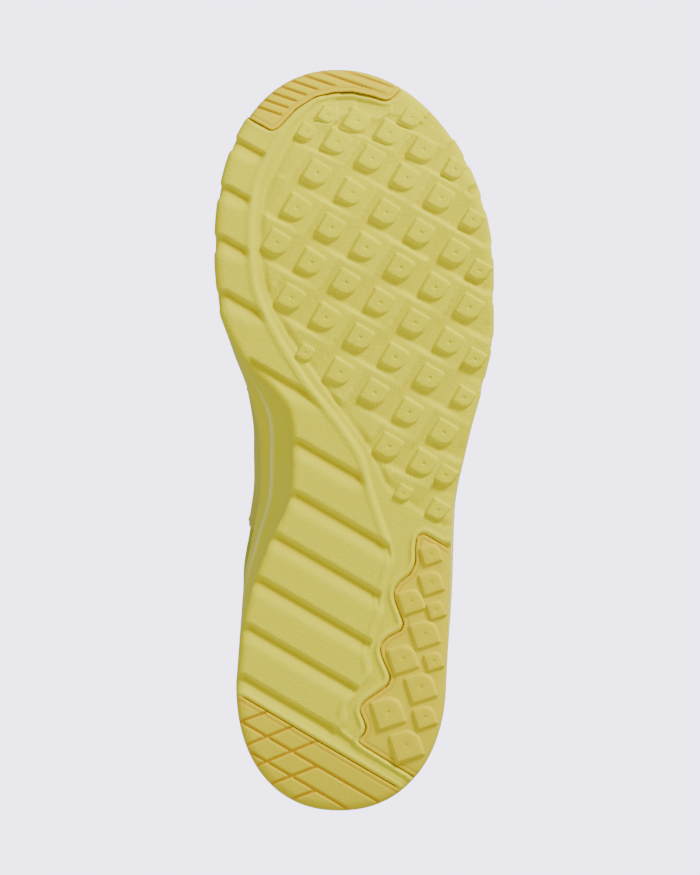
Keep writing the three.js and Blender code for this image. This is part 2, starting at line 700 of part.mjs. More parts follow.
function rawNormal(turn, rise) {
  const step = 0.006;
  const r0 = Math.max(0, rise - step);
  const r1 = Math.min(1, rise + step);
  const up = formPoint(turn, r1).sub(formPoint(turn, r0));
  const round = formPoint(turn + step, Math.min(rise, 0.995))
    .sub(formPoint(turn - step, Math.min(rise, 0.995)));
  const normal = round.cross(up).normalize();
  const out = outwardAt(turn, 1);
  return normal.dot(new THREE.Vector3(out.x, out.y, 0.3)) < 0 ? normal.negate() : normal;
}

// Direction straight out of the foot form; both sides share one on the ridge of the toe box.
function formNormal(turn, rise) {
  const { station } = roundPlace(turn);
  const own = rawNormal(turn, rise);
  if (station > THROAT || rise < 0.999) return own;
  return own.add(rawNormal(-turn, rise)).normalize();
}

function offsetPoint(turn, rise, offset) {
  return formPoint(turn, rise).addScaledVector(formNormal(turn, rise), offset);
}

// One column of the shared facets, with straight stretches between its rows.
const columnCache = new Map();
function columnPoint(column, rise, offset) {
  const key = `${column}_${offset}`;
  if (!columnCache.has(key)) {
    columnCache.set(key, RISES.map((r) => offsetPoint(column / STATIONS, r, offset)));
  }
  const line = columnCache.get(key);
  let j = 0;
  while (j < RISES.length - 2 && rise > RISES[j + 1]) j++;
  return line[j].clone().lerp(line[j + 1], (rise - RISES[j]) / (RISES[j + 1] - RISES[j]));
}

// A point on the flat facets of a layer.
function facetPoint(turn, rise, offset) {
  const near = 1e-6;
  const place = turn * STATIONS;
  const column = Math.floor(place + near);
  const share = place - column;
  if (share < near) return columnPoint(column, rise, offset);
  return columnPoint(column, rise, offset).lerp(columnPoint(column + 1, rise, offset), share);
}

function columnsBetween(from, to) {
  const turns = [from];
  for (let k = Math.floor(from * STATIONS) + 1; k / STATIONS < to - 1e-6; k++) {
    if (k / STATIONS > from + 1e-6) turns.push(k / STATIONS);
  }
  return [...turns, to];
}

// A layer of the upper over part of the foot form. rises gives the low and high edge at a place.
function layer({ from, to, rises, inner, outer, weldTop = false }) {
  const grid = (offset) => columnsBetween(from, to).map((turn) => {
    const [low, high] = rises(turn);
    return RISES.map((r) => facetPoint(turn, THREE.MathUtils.clamp(r, low, high), offset));
  });
  return sheet(grid(outer), grid(inner), { weldTop });
}

// A gap in millimetres as a step on the way round.
function turnStep(turn, gap) {
  const reach = formPoint(turn + 0.001, 0.5).distanceTo(formPoint(turn - 0.001, 0.5));
  return gap / reach * 0.002;
}

const STIFFENER_AT = LINING_THICKNESS + LAYER_GAP;
const SHELL_AT = STIFFENER_AT + STIFFENER_THICKNESS + LAYER_GAP;
const OVERLAY_AT = SHELL_AT + SHELL_THICKNESS + OVERLAY_GAP;
const whole = () => [0, 1];

function vampLining() {
  return layer({ from: -THROAT, to: THROAT, rises: whole, 
    inner: 0, outer: LINING_THICKNESS, weldTop: true });
}

function quarterLining() {
  const gap = turnStep(THROAT, LAYER_GAP);
  return layer({ from: THROAT + gap, to: 2 - THROAT - gap, rises: whole, 
    inner: 0, outer: LINING_THICKNESS });
}

function vampShell() {
  return layer({ from: -THROAT, to: THROAT, rises: whole, 
    inner: SHELL_AT, outer: SHELL_AT + SHELL_THICKNESS, weldTop: true });
}

function quarterShell(side) {
  const start = THROAT + turnStep(THROAT, LAYER_GAP);
  const end = 1 - turnStep(1, LAYER_GAP / 2);
  const range = side > 0 ? [start, end] : [2 - end, 2 - start];
  return layer({ from: range[0], to: range[1], rises: whole, 
    inner: SHELL_AT, outer: SHELL_AT + SHELL_THICKNESS });
}

function toePuff() {
  return layer({ from: -0.22, to: 0.22, 
    rises: (t) => [0.05, 0.55 - 6 * t * t], inner: STIFFENER_AT,
    outer: STIFFENER_AT + STIFFENER_THICKNESS });
}

function heelCounter() {
  return layer({ from: 0.74, to: 1.26, 
    rises: (t) => [0.05, 0.66 - 4 * (t - 1) ** 2], inner: STIFFENER_AT,
    outer: STIFFENER_AT + STIFFENER_THICKNESS });
}

function toeOverlay() {
  return layer({ from: -0.3, to: 0.3, 
    rises: (t) => [0.05, 0.52 - 2.6 * t * t], inner: OVERLAY_AT,
    outer: OVERLAY_AT + OVERLAY_THICKNESS });
}

function heelOverlay() {
  return layer({ from: 0.8, to: 1.2, 
    rises: (t) => [0.05, 0.74 - 9 * (t - 1) ** 2], inner: OVERLAY_AT,
    outer: OVERLAY_AT + OVERLAY_THICKNESS });
}

// Saddle that ties the eyestay to the sole across the arch or the outer midfoot.
function saddleOverlay(side) {
  const turn = (t) => (side > 0 ? t : 2 - t);
  const range = [turn(0.45), turn(0.58)].sort((a, b) => a - b);
  return layer({ from: range[0], to: range[1], 
    rises: () => [0.05, 0.76], inner: OVERLAY_AT, outer: OVERLAY_AT + OVERLAY_THICKNESS });
}

function eyeletPlace(index) {
  const share = index / (EYELET_COUNT - 1);
  return { station: THREE.MathUtils.lerp(0.405, EYESTAY_END - 0.02, share), rise: 0.89 };
}

function eyeletCutter(turn, rise) {
  const normal = formNormal(turn, rise);
  const geometry = new THREE.CylinderGeometry(EYELET_RADIUS, EYELET_RADIUS, 24, 8);
  geometry.deleteAttribute('normal');
  geometry.deleteAttribute('uv');
  const merged = mergeVertices(geometry, 1e-4);
  merged.applyQuaternion(new THREE.Quaternion().setFromUnitVectors(new THREE.Vector3(0, 1, 0), normal));
  const p = formPoint(turn, rise);
  merged.translate(p.x, p.y, p.z);
  return toManifold(merged);
}

function withEyelets(geometry, sides) {
  let body = toManifold(geometry);
  for (const side of sides) {
    for (let i = 0; i < EYELET_COUNT; i++) {
      const { station, rise } = eyeletPlace(i);
      body = body.subtract(eyeletCutter(side > 0 ? station : 2 - station, rise));
    }
  }
  return fromManifold(body);
}

function eyestay(side) {
  const turn = (t) => (side > 0 ? t : 2 - t);
  const start = THROAT + turnStep(THROAT, LAYER_GAP);
  const range = [turn(start), turn(EYESTAY_END)].sort((a, b) => a - b);
  return layer({ from: range[0], to: range[1], 
    rises: () => [0.78, 1], inner: OVERLAY_AT, outer: OVERLAY_AT + OVERLAY_THICKNESS });
}

// ---------------------------------------------------------------- collar

const COLLAR_FROM = 0.64;

function collarLayer(outer, thickness) {
  return layer({ from: COLLAR_FROM, to: 2 - COLLAR_FROM,
    rises: () => [0.52, 1], inner: -outer - thickness, outer: -outer });
}

function collarFoam() {
  return collarLayer(LAYER_GAP, COLLAR_FOAM_THICKNESS);
}

function collarLining() {
  return collarLayer(2 * LAYER_GAP + COLLAR_FOAM_THICKNESS, LINING_THICKNESS);
}

// Bound edge that caps the lining, foam and shell along the top line.
function collarBinding() {
  const inside = -(2 * LAYER_GAP + COLLAR_FOAM_THICKNESS + LINING_THICKNESS);
  const outside = SHELL_AT + SHELL_THICKNESS;
  const section = [[0, 0.35], [0.12, 0.85], [0.5, 1], [0.88, 0.85], [1, 0.35]];
  const seat = 0.7;
  const rows = (crown) => columnsBetween(COLLAR_FROM, 2 - COLLAR_FROM).map((turn) =>
    section.map(([share, lift]) => {
      const p = facetPoint(turn, 1, THREE.MathUtils.lerp(inside, outside, share));
      return p.add(new THREE.Vector3(0, 0, seat + crown * lift * COLLAR_BINDING_HEIGHT));
    }));
  return sheet(rows(1), rows(0));
}

// ---------------------------------------------------------------- tongue

function tongueRow(station) {
  const under = -TONGUE_FLAP_CLEARANCE;
  const wing = (side, rise) => facetPoint(side > 0 ? station : 2 - station, rise, under);
  const crown = wing(1, 1).add(wing(-1, 1)).multiplyScalar(0.5);
  crown.z += 1.2;
  const curve = new THREE.CatmullRomCurve3([wing(1, 0.84), wing(1, 1), crown, wing(-1, 1),
    wing(-1, 0.84)]);
  return curve.getPoints(8);
}

function tongueFoldRow(height) {
  const rise = height - TONGUE_FOLD_HEIGHT;
  const front = along(34) + rise * 0.62;
  const corner = THREE.MathUtils.smoothstep(height, TONGUE_TOP_HEIGHT - 9, TONGUE_TOP_HEIGHT);
  const spread = THREE.MathUtils.smoothstep(rise, 0, 12);
  const half = across(18 + spread * 9 - corner * 8);
  const row = [];
  for (let i = 0; i <= 8; i++) {
    const u = 1 - i / 4;
    row.push(new THREE.Vector3(across(CENTRE(34)) + u * half, front + 10 * u * u, height));
  }
  return row;
}

function tongueThickness(i) {
  const u = Math.abs(1 - i / 4);
  return THREE.MathUtils.lerp(TONGUE_THICKNESS, TONGUE_EDGE_THICKNESS, u ** 3);
}

function tongueLower() {
  const start = THROAT + turnStep(THROAT, 2);
  const outer = columnsBetween(start, 14 / STATIONS).map(tongueRow);
  outer.push(tongueFoldRow(TONGUE_FOLD_HEIGHT));
  const inner = outer.map((row, r) => row.map((p, i) => {
    const back = r === outer.length - 1 ? [0, 1] : [-1, 0.25];
    return p.clone().add(new THREE.Vector3(0, back[1], back[0]).multiplyScalar(tongueThickness(i)));
  }));
  return sheet(outer, inner);
}

function tongueUpper() {
  const heights = [TONGUE_FOLD_HEIGHT + LAYER_GAP, TONGUE_FOLD_HEIGHT + 7, TONGUE_TOP_HEIGHT - 7,
    TONGUE_TOP_HEIGHT - 2.5, TONGUE_TOP_HEIGHT];
  const outer = heights.map((h) => tongueFoldRow(h));
  const inner = heights.map((h) => tongueFoldRow(h).map((p, i) => {
    const round = h > TONGUE_TOP_HEIGHT - 1 ? 0.55 : 1;
    return p.clone().add(new THREE.Vector3(0, tongueThickness(i) * round, 0));
  }));
  return sheet(outer, inner);
}

// ---------------------------------------------------------------- finishes and assembly

function finish(colour, roughness) {
  return new THREE.MeshStandardMaterial({ color: colour, roughness, metalness: 0 });
}

const FINISHES = {
  foam: finish(0xd6cd58, 0.75),
  midsole: finish(0xcfc655, 0.6),
  rubber: finish(0xd4c350, 0.5),
  mesh: finish(0xb6b52e, 0.95),
  overlay: finish(0xc8c43c, 0.55),
  lining: finish(0xc9c96a, 0.95),
  board: finish(0xe4e0c8, 0.9),
  stiffener: finish(0xe8e6da, 0.6),
  padding: finish(0xdedb9a, 0.95),
};

const shoe = new THREE.Group();

function add(name, geometry, material) {
  const mesh = new THREE.Mesh(geometry, material);
  mesh.name = name;
  shoe.add(mesh);
}

add('outsole_tread', treadSolid(), FINISHES.foam);
add('toe_rubber', toeInsertSolid(), FINISHES.rubber);
add('heel_lateral_rubber', heelLateralInsertSolid(), FINISHES.rubber);
add('heel_rear_rubber', heelRearInsertSolid(), FINISHES.rubber);
add('midsole', midsoleSolid(), FINISHES.midsole);
add('strobel_board', boardSolid(), FINISHES.board);
add('sockliner', sockLinerSolid(), FINISHES.lining);
add('vamp_lining', vampLining(), FINISHES.lining);
add('quarter_lining', withEyelets(quarterLining(), [1, -1]), FINISHES.lining);
add('toe_puff', toePuff(), FINISHES.stiffener);
add('heel_counter', heelCounter(), FINISHES.stiffener);
add('vamp', vampShell(), FINISHES.mesh);
add('toe_overlay', toeOverlay(), FINISHES.overlay);
add('heel_overlay', heelOverlay(), FINISHES.overlay);
for (const [side, name] of [[1, 'lateral'], [-1, 'medial']]) {
  add(`quarter_${name}`, withEyelets(quarterShell(side), [side]), FINISHES.mesh);
  add(`eyestay_${name}`, withEyelets(eyestay(side), [side]), FINISHES.overlay);
  add(`saddle_${name}`, saddleOverlay(side), FINISHES.overlay);
}
add('collar_foam', collarFoam(), FINISHES.padding);
add('collar_lining', collarLining(), FINISHES.lining);
add('collar_binding', collarBinding(), FINISHES.overlay);
add('tongue_lower', tongueLower(), FINISHES.mesh);
add('tongue_upper', tongueUpper(), FINISHES.mesh);

export default shoe;
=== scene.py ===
"""Left running shoe: the visible surfaces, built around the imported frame.

Lengths inside the classes are millimetres and become metres when a mesh is made.
The toe points to -Y, the lateral side is +X and the ground is z = 0.
"""

from __future__ import annotations

import logging
import math
from contextlib import contextmanager
from dataclasses import dataclass
from enum import Enum
from functools import cached_property
from typing import Callable, Iterable, Iterator, Sequence

import bmesh
import bpy
import numpy as np
from mathutils import Matrix, Vector
from mathutils.geometry import delaunay_2d_cdt

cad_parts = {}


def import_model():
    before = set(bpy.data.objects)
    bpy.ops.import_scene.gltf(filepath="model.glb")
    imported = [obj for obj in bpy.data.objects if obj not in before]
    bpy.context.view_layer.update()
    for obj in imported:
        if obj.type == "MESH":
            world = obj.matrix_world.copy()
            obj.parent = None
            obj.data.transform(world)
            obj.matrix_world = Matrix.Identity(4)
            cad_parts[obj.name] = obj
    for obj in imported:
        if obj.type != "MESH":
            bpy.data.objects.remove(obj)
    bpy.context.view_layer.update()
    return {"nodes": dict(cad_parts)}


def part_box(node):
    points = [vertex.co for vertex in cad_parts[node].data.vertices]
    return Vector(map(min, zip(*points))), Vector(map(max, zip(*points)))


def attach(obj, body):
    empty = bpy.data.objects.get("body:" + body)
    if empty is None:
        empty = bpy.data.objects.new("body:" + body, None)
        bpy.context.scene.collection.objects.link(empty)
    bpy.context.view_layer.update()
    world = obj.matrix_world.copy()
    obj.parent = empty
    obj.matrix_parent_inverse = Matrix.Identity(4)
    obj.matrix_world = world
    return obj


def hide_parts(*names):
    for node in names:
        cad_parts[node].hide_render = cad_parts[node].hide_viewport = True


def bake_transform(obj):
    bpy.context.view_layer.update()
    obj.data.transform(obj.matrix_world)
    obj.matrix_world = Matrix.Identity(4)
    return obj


MM = 0.001
LOG = logging.getLogger("shoe")
Array = np.ndarray


class Side(Enum):
    """The two sides of a left shoe."""

    LATERAL = 1
    MEDIAL = -1

    def turn(self, station: float) -> float:
        """Place on the way round the shoe that lies at a station on this side."""
        return station if self is Side.LATERAL else 2 - station


class Body(Enum):
    """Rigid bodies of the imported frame."""

    SHOE = "shoe"
    TONGUE_TOP = "tongue_top"
    INSOLE = "insole"


# ---------------------------------------------------------------------------- curves


def station_of(turn: Array) -> Array:
    """Stations of places on the way round: 0 at the toe, 1 at the heel, on either side."""
    wrapped = np.mod(turn, 2.0)
    return np.where(wrapped <= 1, wrapped, 2 - wrapped)


def side_of(turn: Array) -> Array:
    """1 for places on the lateral side and -1 for places on the medial side."""
    return np.where(np.mod(turn, 2.0) <= 1, 1.0, -1.0)


def unit(vectors: Array) -> Array:
    """Vectors brought to length 1."""
    return vectors / np.maximum(np.linalg.norm(vectors, axis=-1, keepdims=True), 1e-9)


def travelled(points: Array) -> Array:
    """Distance along a line of points, from its first point to each."""
    return np.concatenate([[0], np.cumsum(np.linalg.norm(np.diff(points, axis=0), axis=1))])


def smoothstep(low: float, high: float, value: Array) -> Array:
    """Eases from 0 to 1 between two values.

    Args:
        low: Where the result is 0.
        high: Where the result is 1.
        value: Values to ease.

    Returns:
        The eased share for each value.
    """
    share = np.clip((np.asarray(value, float) - low) / (high - low), 0, 1)
    return share * share * (3 - 2 * share)


@dataclass(frozen=True)
class SmoothCurve:
    """A curve y(x) through a few points that never overshoots them."""

    points: tuple[tuple[float, float], ...]

    @cached_property
    def knots(self) -> tuple[Array, Array, Array]:
        """Places, heights and slopes at the curve's points."""
        x, y = np.array(self.points, float).T
        slope = np.diff(y) / np.diff(x)
        tangent = np.empty_like(y)
        tangent[0], tangent[-1] = slope[0], slope[-1]
        before, after = slope[:-1], slope[1:]
        total = np.where(before * after > 0, before + after, 1.0)
        tangent[1:-1] = np.where(before * after > 0, 2 * before * after / total, 0.0)
        return x, y, tangent

    def __call__(self, value: Array) -> Array:
        """Evaluates the curve.

        Args:
            value: Places along x.

        Returns:
            The curve's height at each place.
        """
        x, y, tangent = self.knots
        u = np.minimum(np.maximum(np.asarray(value, float), x[0]), x[-1])
        i = np.minimum(np.searchsorted(x, u, side="right") - 1, len(x) - 2)
        h = x[i + 1] - x[i]
        t = (u - x[i]) / h
        return (
            (2 * t**3 - 3 * t**2 + 1) * y[i]
            + (t**3 - 2 * t**2 + t) * h * tangent[i]
            + (3 * t**2 - 2 * t**3) * y[i + 1]
            + (t**3 - t**2) * h * tangent[i + 1]
        )


def rounded_path(points: Sequence[Sequence[float]], step: float, closed: bool = False,
                 passes: int = 3) -> Array:
    """Resamples a polyline evenly and softens its corners.

    Args:
        points: Corner points in the plan.
        step: Distance between samples.
        closed: Whether the last point joins the first.
        passes: How often the corners are softened.

    Returns:
        The softened samples, one row for each.
    """
    line = np.array(points, float)
    if closed:
        line = np.vstack([line, line[:1]])
    reach = np.concatenate([[0], np.cumsum(np.hypot(*np.diff(line, axis=0).T))])
    count = max(8, int(round(reach[-1] / step)))
    places = np.linspace(0, reach[-1], count + 1)
    path = np.column_stack([np.interp(places, reach, line[:, k]) for k in (0, 1)])
    if closed:
        path = path[:-1]
    for _ in range(passes):
        if closed:
            path = (np.roll(path, 1, 0) + 2 * path + np.roll(path, -1, 0)) / 4
        else:
            path[1:-1] = (path[:-2] + 2 * path[1:-1] + path[2:]) / 4
    return path


def distance_to_path(points: Array, path: Array, closed: bool = False) -> Array:
    """Distance from points of the plan to a polyline.

    Args:
        points: Rows of x and y.
        path: Rows of the polyline.
        closed: Whether the polyline's last point joins its first.

    Returns:
        The distance for each point.
    """
    ends = np.roll(path, -1, 0) if closed else path[1:]
    starts = path if closed else path[:-1]
    best = np.full(len(points), np.inf)
    for a, b in zip(starts, ends):
        d = b - a
        share = np.clip(((points - a) @ d) / max(d @ d, 1e-12), 0, 1)
        offset = points - a - share[:, None] * d
        best = np.minimum(best, np.einsum("ij,ij->i", offset, offset))
    return np.sqrt(best)


def inside_polygon(points: Array, polygon: Array) -> Array:
    """Whether points of the plan lie inside a closed polygon.

    Args:
        points: Rows of x and y.
        polygon: Rows of the polygon's corners.

    Returns:
        True for each point inside.
    """
    x, y = points.T
    inside = np.zeros(len(points), bool)
    for a, b in zip(polygon, np.roll(polygon, -1, 0)):
        crosses = (a[1] > y) != (b[1] > y)
        rise = b[1] - a[1] if b[1] != a[1] else 1e-12
        inside ^= crosses & (x < (b[0] - a[0]) * (y - a[1]) / rise + a[0])
    return inside


def signed_distance(points: Array, polygon: Array) -> Array:
    """Distance to a closed polygon's edge, negative inside it.

    Args:
        points: Rows of x and y.
        polygon: Rows of the polygon's corners.

    Returns:
        The signed distance for each point.
    """
    distance = distance_to_path(points, polygon, closed=True)
    return np.where(inside_polygon(points, polygon), -distance, distance)


# ---------------------------------------------------------------------------- meshes


def placed(name: str, data: bpy.types.ID) -> bpy.types.Object:
    """Makes an object of a mesh, camera or light and links it to the scene."""
    obj = bpy.data.objects.new(name, data)
    bpy.context.scene.collection.objects.link(obj)
    return obj


@contextmanager
def edited(mesh: bpy.types.Mesh) -> Iterator[bmesh.types.BMesh]:
    """Opens a mesh for editing and writes it back at the end."""
    work = bmesh.new()
    work.from_mesh(mesh)
    yield work
    work.to_mesh(mesh)
    work.free()


def mesh_object(name: str, vertices: Array, faces: Iterable[Sequence[int]]) -> bpy.types.Object:
    """Makes a smooth-shaded mesh object in the shoe's frame.

    Args:
        name: Name of the piece.
        vertices: Rows of x, y, z in millimetres.
        faces: Corner indices of each face.

    Returns:
        The new object, linked to the scene.
    """
    mesh = bpy.data.meshes.new(name)
    mesh.from_pydata((np.asarray(vertices, float) * MM).tolist(), [], [list(f) for f in faces])
    mesh.validate()
    mesh.polygons.foreach_set("use_smooth", np.ones(len(mesh.polygons), bool))
    return placed(name, mesh)


def add_values(obj: bpy.types.Object, name: str, values: Array) -> None:
    """Stores one number for each vertex, for a material to read.

    Args:
        obj: The mesh object.
        name: Name of the attribute.
        values: One value for each vertex.
    """
    layer = obj.data.attributes.new(name, "FLOAT", "POINT")
    layer.data.foreach_set("value", np.asarray(values, np.float32))


def add_plane_map(obj: bpy.types.Object, coordinates: Array) -> None:
    """Stores surface coordinates in metres as the piece's UV map.

    Args:
        obj: The mesh object.
        coordinates: Rows of u and v, one for each vertex.
    """
    layer = obj.data.uv_layers.new(name="surface")
    corners = np.empty(len(obj.data.loops), np.int32)
    obj.data.loops.foreach_get("vertex_index", corners)
    layer.data.foreach_set("uv", np.asarray(coordinates, np.float32)[corners].ravel())


def merge_doubles(obj: bpy.types.Object, distance: float = 0.02) -> None:
    """Welds vertices that lie together and turns the faces outwards.

    Args:
        obj: The mesh object.
        distance: How near they have to be, in millimetres.
    """
    with edited(obj.data) as work:
        bmesh.ops.remove_doubles(work, verts=work.verts, dist=distance * MM)
        bmesh.ops.dissolve_degenerate(work, edges=work.edges, dist=1e-7)
        bmesh.ops.recalc_face_normals(work, faces=work.faces)


def grid_faces(rows: int, columns: int, start: int = 0, flip: bool = False,
               wrap: bool = False) -> list[tuple[int, int, int, int]]:
    """Quads of a grid of vertices stored row by row.

    Args:
        rows: Number of rows.
        columns: Number of vertices in a row.
        start: Index of the first vertex.
        flip: Whether the faces turn the other way.
        wrap: Whether the last column joins the first.

    Returns:
        Corner indices of each quad.
    """
    faces = []
    last = columns if wrap else columns - 1
    for i in range(rows - 1):
        for j in range(last):
            k = (j + 1) % columns
            quad = (start + i * columns + j, start + (i + 1) * columns + j,
                    start + (i + 1) * columns + k, start + i * columns + k)
            faces.append(quad[::-1] if flip else quad)
    return faces


def cap_faces(top: int, stations: int, underside: bool = False) -> list[tuple[int, ...]]:
    """Quads straight across the shoe that close its rings of points.

    Args:
        top: Index of the top ring's first vertex; the bottom ring starts at 0.
        stations: Half the number of vertices in a ring.
        underside: Whether the bottom ring is closed as well.

    Returns:
        Corner indices of each quad.
    """
    faces, count = [], 2 * stations
    for i in range(stations):
        quad = (i, i + 1, (count - i - 1) % count, (count - i) % count)
        faces.append(tuple(top + k for k in quad))
        if underside:
            faces.append(quad[::-1])
    return faces


def sheet_object(name: str, outer: Array, inner: Array) -> bpy.types.Object:
    """A closed sheet between two grids of points.

    Args:
        name: Name of the piece.
        outer: Grid of outer points, rows by columns by 3.
        inner: Grid of inner points of the same shape.

    Returns:
        The closed sheet, with a surface map that follows the grid.
    """
    rows, columns = outer.shape[:2]
    shift = rows * columns
    faces = grid_faces(rows, columns) + grid_faces(rows, columns, shift, flip=True)
    border = [(i, 0) for i in range(rows)]
    border += [(rows - 1, j) for j in range(1, columns)]
    border += [(i, columns - 1) for i in range(rows - 2, -1, -1)]
    border += [(0, j) for j in range(columns - 2, 0, -1)]
    ring = [i * columns + j for i, j in border]
    for a, b in zip(ring, ring[1:] + ring[:1]):
        faces.append((b, a, a + shift, b + shift))
    obj = mesh_object(name, np.vstack([outer.reshape(-1, 3), inner.reshape(-1, 3)]), faces)
    along = np.cumsum(np.linalg.norm(np.diff(outer, axis=0, prepend=outer[:1]), axis=2), axis=0)
    along = along[:, columns // 2][:, None] + np.zeros((1, columns))
    up = np.cumsum(np.linalg.norm(np.diff(outer, axis=1, prepend=outer[:, :1]), axis=2), axis=1)
    surface = np.dstack([along, up]).reshape(-1, 2) * MM
    add_plane_map(obj, np.vstack([surface, surface]))
    return obj


def applied(obj: bpy.types.Object) -> bpy.types.Object:
    """Applies every modifier, so that the piece is a plain mesh.

    Args:
        obj: The object with modifiers.

    Returns:
        The same object.
    """
    graph = bpy.context.evaluated_depsgraph_get()
    graph.update()
    mesh = bpy.data.meshes.new_from_object(obj.evaluated_get(graph))
    obj.modifiers.clear()
    old = obj.data
    obj.data = mesh
    mesh.name = obj.name
    if old.users == 0:
        bpy.data.meshes.remove(old)
    return obj


def settle(obj: bpy.types.Object, body: Body, slot: str, *nodes: str) -> bpy.types.Object:
    """Gives a finished piece its body and hides the imported nodes that it stands for.

    Args:
        obj: The finished piece.
        body: The body it moves with.
        slot: Not used.
        *nodes: Nodes that it replaces.

    Returns:
        The same object.
    """
    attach(obj, body.value)
    if nodes:
        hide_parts(*nodes)
    LOG.info("%s: %d faces", obj.name, len(obj.data.polygons))
    return obj


# ---------------------------------------------------------------------------- finishes


Colour = tuple[float, float, float]


def linear(red: int, green: int, blue: int) -> Colour:
    """A display colour as the linear colour that shaders take.

    Args:
        red: 0 to 255.
        green: 0 to 255.
        blue: 0 to 255.

    Returns:
        Linear red, green and blue.
    """
    def one(channel: int) -> float:
        """Linear value of one channel."""
        c = channel / 255
        return c / 12.92 if c <= 0.04045 else ((c + 0.055) / 1.055) ** 2.4
    return one(red), one(green), one(blue)


class NodeSheet:
    """A material's node tree, with short calls for the nodes the finishes use."""

    def __init__(self, name: str) -> None:
        """Starts a material with a Principled shader and an output."""
        self.material = bpy.data.materials.new(name)
        self.material.use_nodes = True
        self.tree = self.material.node_tree
        self.tree.nodes.clear()
        self.shader = self.tree.nodes.new("ShaderNodeBsdfPrincipled")
        output = self.tree.nodes.new("ShaderNodeOutputMaterial")
        self.tree.links.new(self.shader.outputs["BSDF"], output.inputs["Surface"])

    def node(self, kind: str, inputs: dict | None = None, **settings: object) -> bpy.types.Node:
        """Adds a node.

        Args:
            kind: The node's type name.
            inputs: Socket names or numbers and their values or source sockets.
            **settings: Attributes of the node itself.

        Returns:
            The new node.
        """
        made = self.tree.nodes.new(kind)
        for key, value in settings.items():
            setattr(made, key, value)
        for key, value in (inputs or {}).items():
            self.set(made.inputs[key], value)
        return made

    def set(self, socket: bpy.types.NodeSocket, value: object) -> None:
        """Links a socket to another, or gives it a value."""
        if isinstance(value, bpy.types.NodeSocket):
            self.tree.links.new(value, socket)
        elif isinstance(value, tuple) and len(value) == 3 and socket.type == "RGBA":
            socket.default_value = (*value, 1.0)
        else:
            socket.default_value = value

    def place(self) -> bpy.types.NodeSocket:
        """Object coordinates of the piece."""
        return self.node("ShaderNodeTexCoord").outputs["Object"]

    def noise(self, scale: float, detail: float = 2.0,
              at: bpy.types.NodeSocket | None = None) -> bpy.types.NodeSocket:
        """A noise value."""
        return self.node("ShaderNodeTexNoise", {"Vector": at or self.place(), "Scale": scale,
                                                "Detail": detail}).outputs[0]

    def math(self, operation: str, a: object, b: object = 0.0) -> bpy.types.NodeSocket:
        """A sum, product or other operation on two numbers."""
        return self.node("ShaderNodeMath", {0: a, 1: b}, operation=operation).outputs[0]

    def ramp(self, value: bpy.types.NodeSocket, low: float, high: float) -> bpy.types.NodeSocket:
        """Maps a value's span to 0 to 1, clamped."""
        return self.node("ShaderNodeMapRange", {"Value": value, "From Min": low,
                                                "From Max": high}, clamp=True).outputs[0]

    def mix(self, share: object, a: object, b: object) -> bpy.types.NodeSocket:
        """Mixes two colours."""
        return self.node("ShaderNodeMix", {0: share, 6: a, 7: b}, data_type="RGBA",
                         clamp_factor=True).outputs[2]

    def bump(self, height: bpy.types.NodeSocket, depth: float) -> bpy.types.NodeSocket:
        """A bump of a depth in metres."""
        return self.node("ShaderNodeBump", {"Height": height, "Distance": depth,
                                            "Strength": 1.0}).outputs[0]

    def value(self, name: str) -> bpy.types.NodeSocket:
        """A number stored on the mesh."""
        return self.node("ShaderNodeAttribute", attribute_name=name).outputs["Fac"]

    def tint(self, base: object, colour: Colour, by: object, strength: float) -> object:
        """Mixes a colour into a base, by a value times a strength."""
        return self.mix(self.math("MULTIPLY", by, strength), base, colour)

    def finished(self, **looks: object) -> bpy.types.Material:
        """Sets the shader's sockets, named with _ for a space, and returns the material."""
        for name, value in looks.items():
            self.set(self.shader.inputs[name.replace("_", " ")], value)
        return self.material


@dataclass(frozen=True)
class FoamFinish:
    """Moulded foam or rubber: a fine pebbled grain, painted shade where the relief is recessed and
    painted highlight where it stands proud.
    """

    name: str
    colour: Colour
    # Two colours follow: the first paints shade into recesses and also tints the dust and grain;
    # the second paints highlight onto proud relief and also tints the patches and the specular
    # highlight.
    hollow: Colour
    highlight_and_patches: Colour
    roughness: float = 0.62
    grain: float = 1400.0
    grain_depth: float = 0.00009
    mottle: float = 0.08

    def material(self) -> bpy.types.Material:
        """Builds the material."""
        sheet = NodeSheet(self.name)
        place = sheet.place()
        pebble = sheet.node("ShaderNodeTexVoronoi", {"Vector": place, "Scale": self.grain},
                            feature="SMOOTH_F1").outputs["Distance"]
        crumb = sheet.noise(self.grain * 0.55, 3.0, place)
        height = sheet.math("ADD", sheet.math("MULTIPLY", pebble, 0.7), crumb)
        patches = sheet.ramp(sheet.noise(26.0, 4.0, place), 0.35, 0.7)
        dust = sheet.ramp(sheet.noise(240.0, 2.0, place), 0.3, 0.75)
        # Signed painted light stored on the mesh: positive values paint shade, negative values
        # paint highlight.
        depth = sheet.value("hollow")
        base = sheet.tint(self.colour, self.highlight_and_patches, patches, self.mottle * 4)
        # The dust and the pebbled grain are the foam's own tone, tinted with the same darker colour
        # that paints the shade.
        base = sheet.tint(base, self.hollow, dust, self.mottle)
        base = sheet.tint(base, self.hollow, pebble, self.mottle * 1.5)
        # Painted highlight on proud relief, then painted shade in recesses.
        base = sheet.tint(base, self.highlight_and_patches, sheet.ramp(depth, -0.04, -0.7), 0.6)
        base = sheet.tint(base, self.hollow, sheet.ramp(depth, 0.04, 0.9), 0.9)
        rough = sheet.math("ADD", sheet.math("MULTIPLY", patches, 0.1), self.roughness - 0.05)
        return sheet.finished(Base_Color=base, Roughness=rough, Specular_IOR_Level=0.22,
                              Normal=sheet.bump(height, self.grain_depth),
                              Specular_Tint=self.highlight_and_patches)


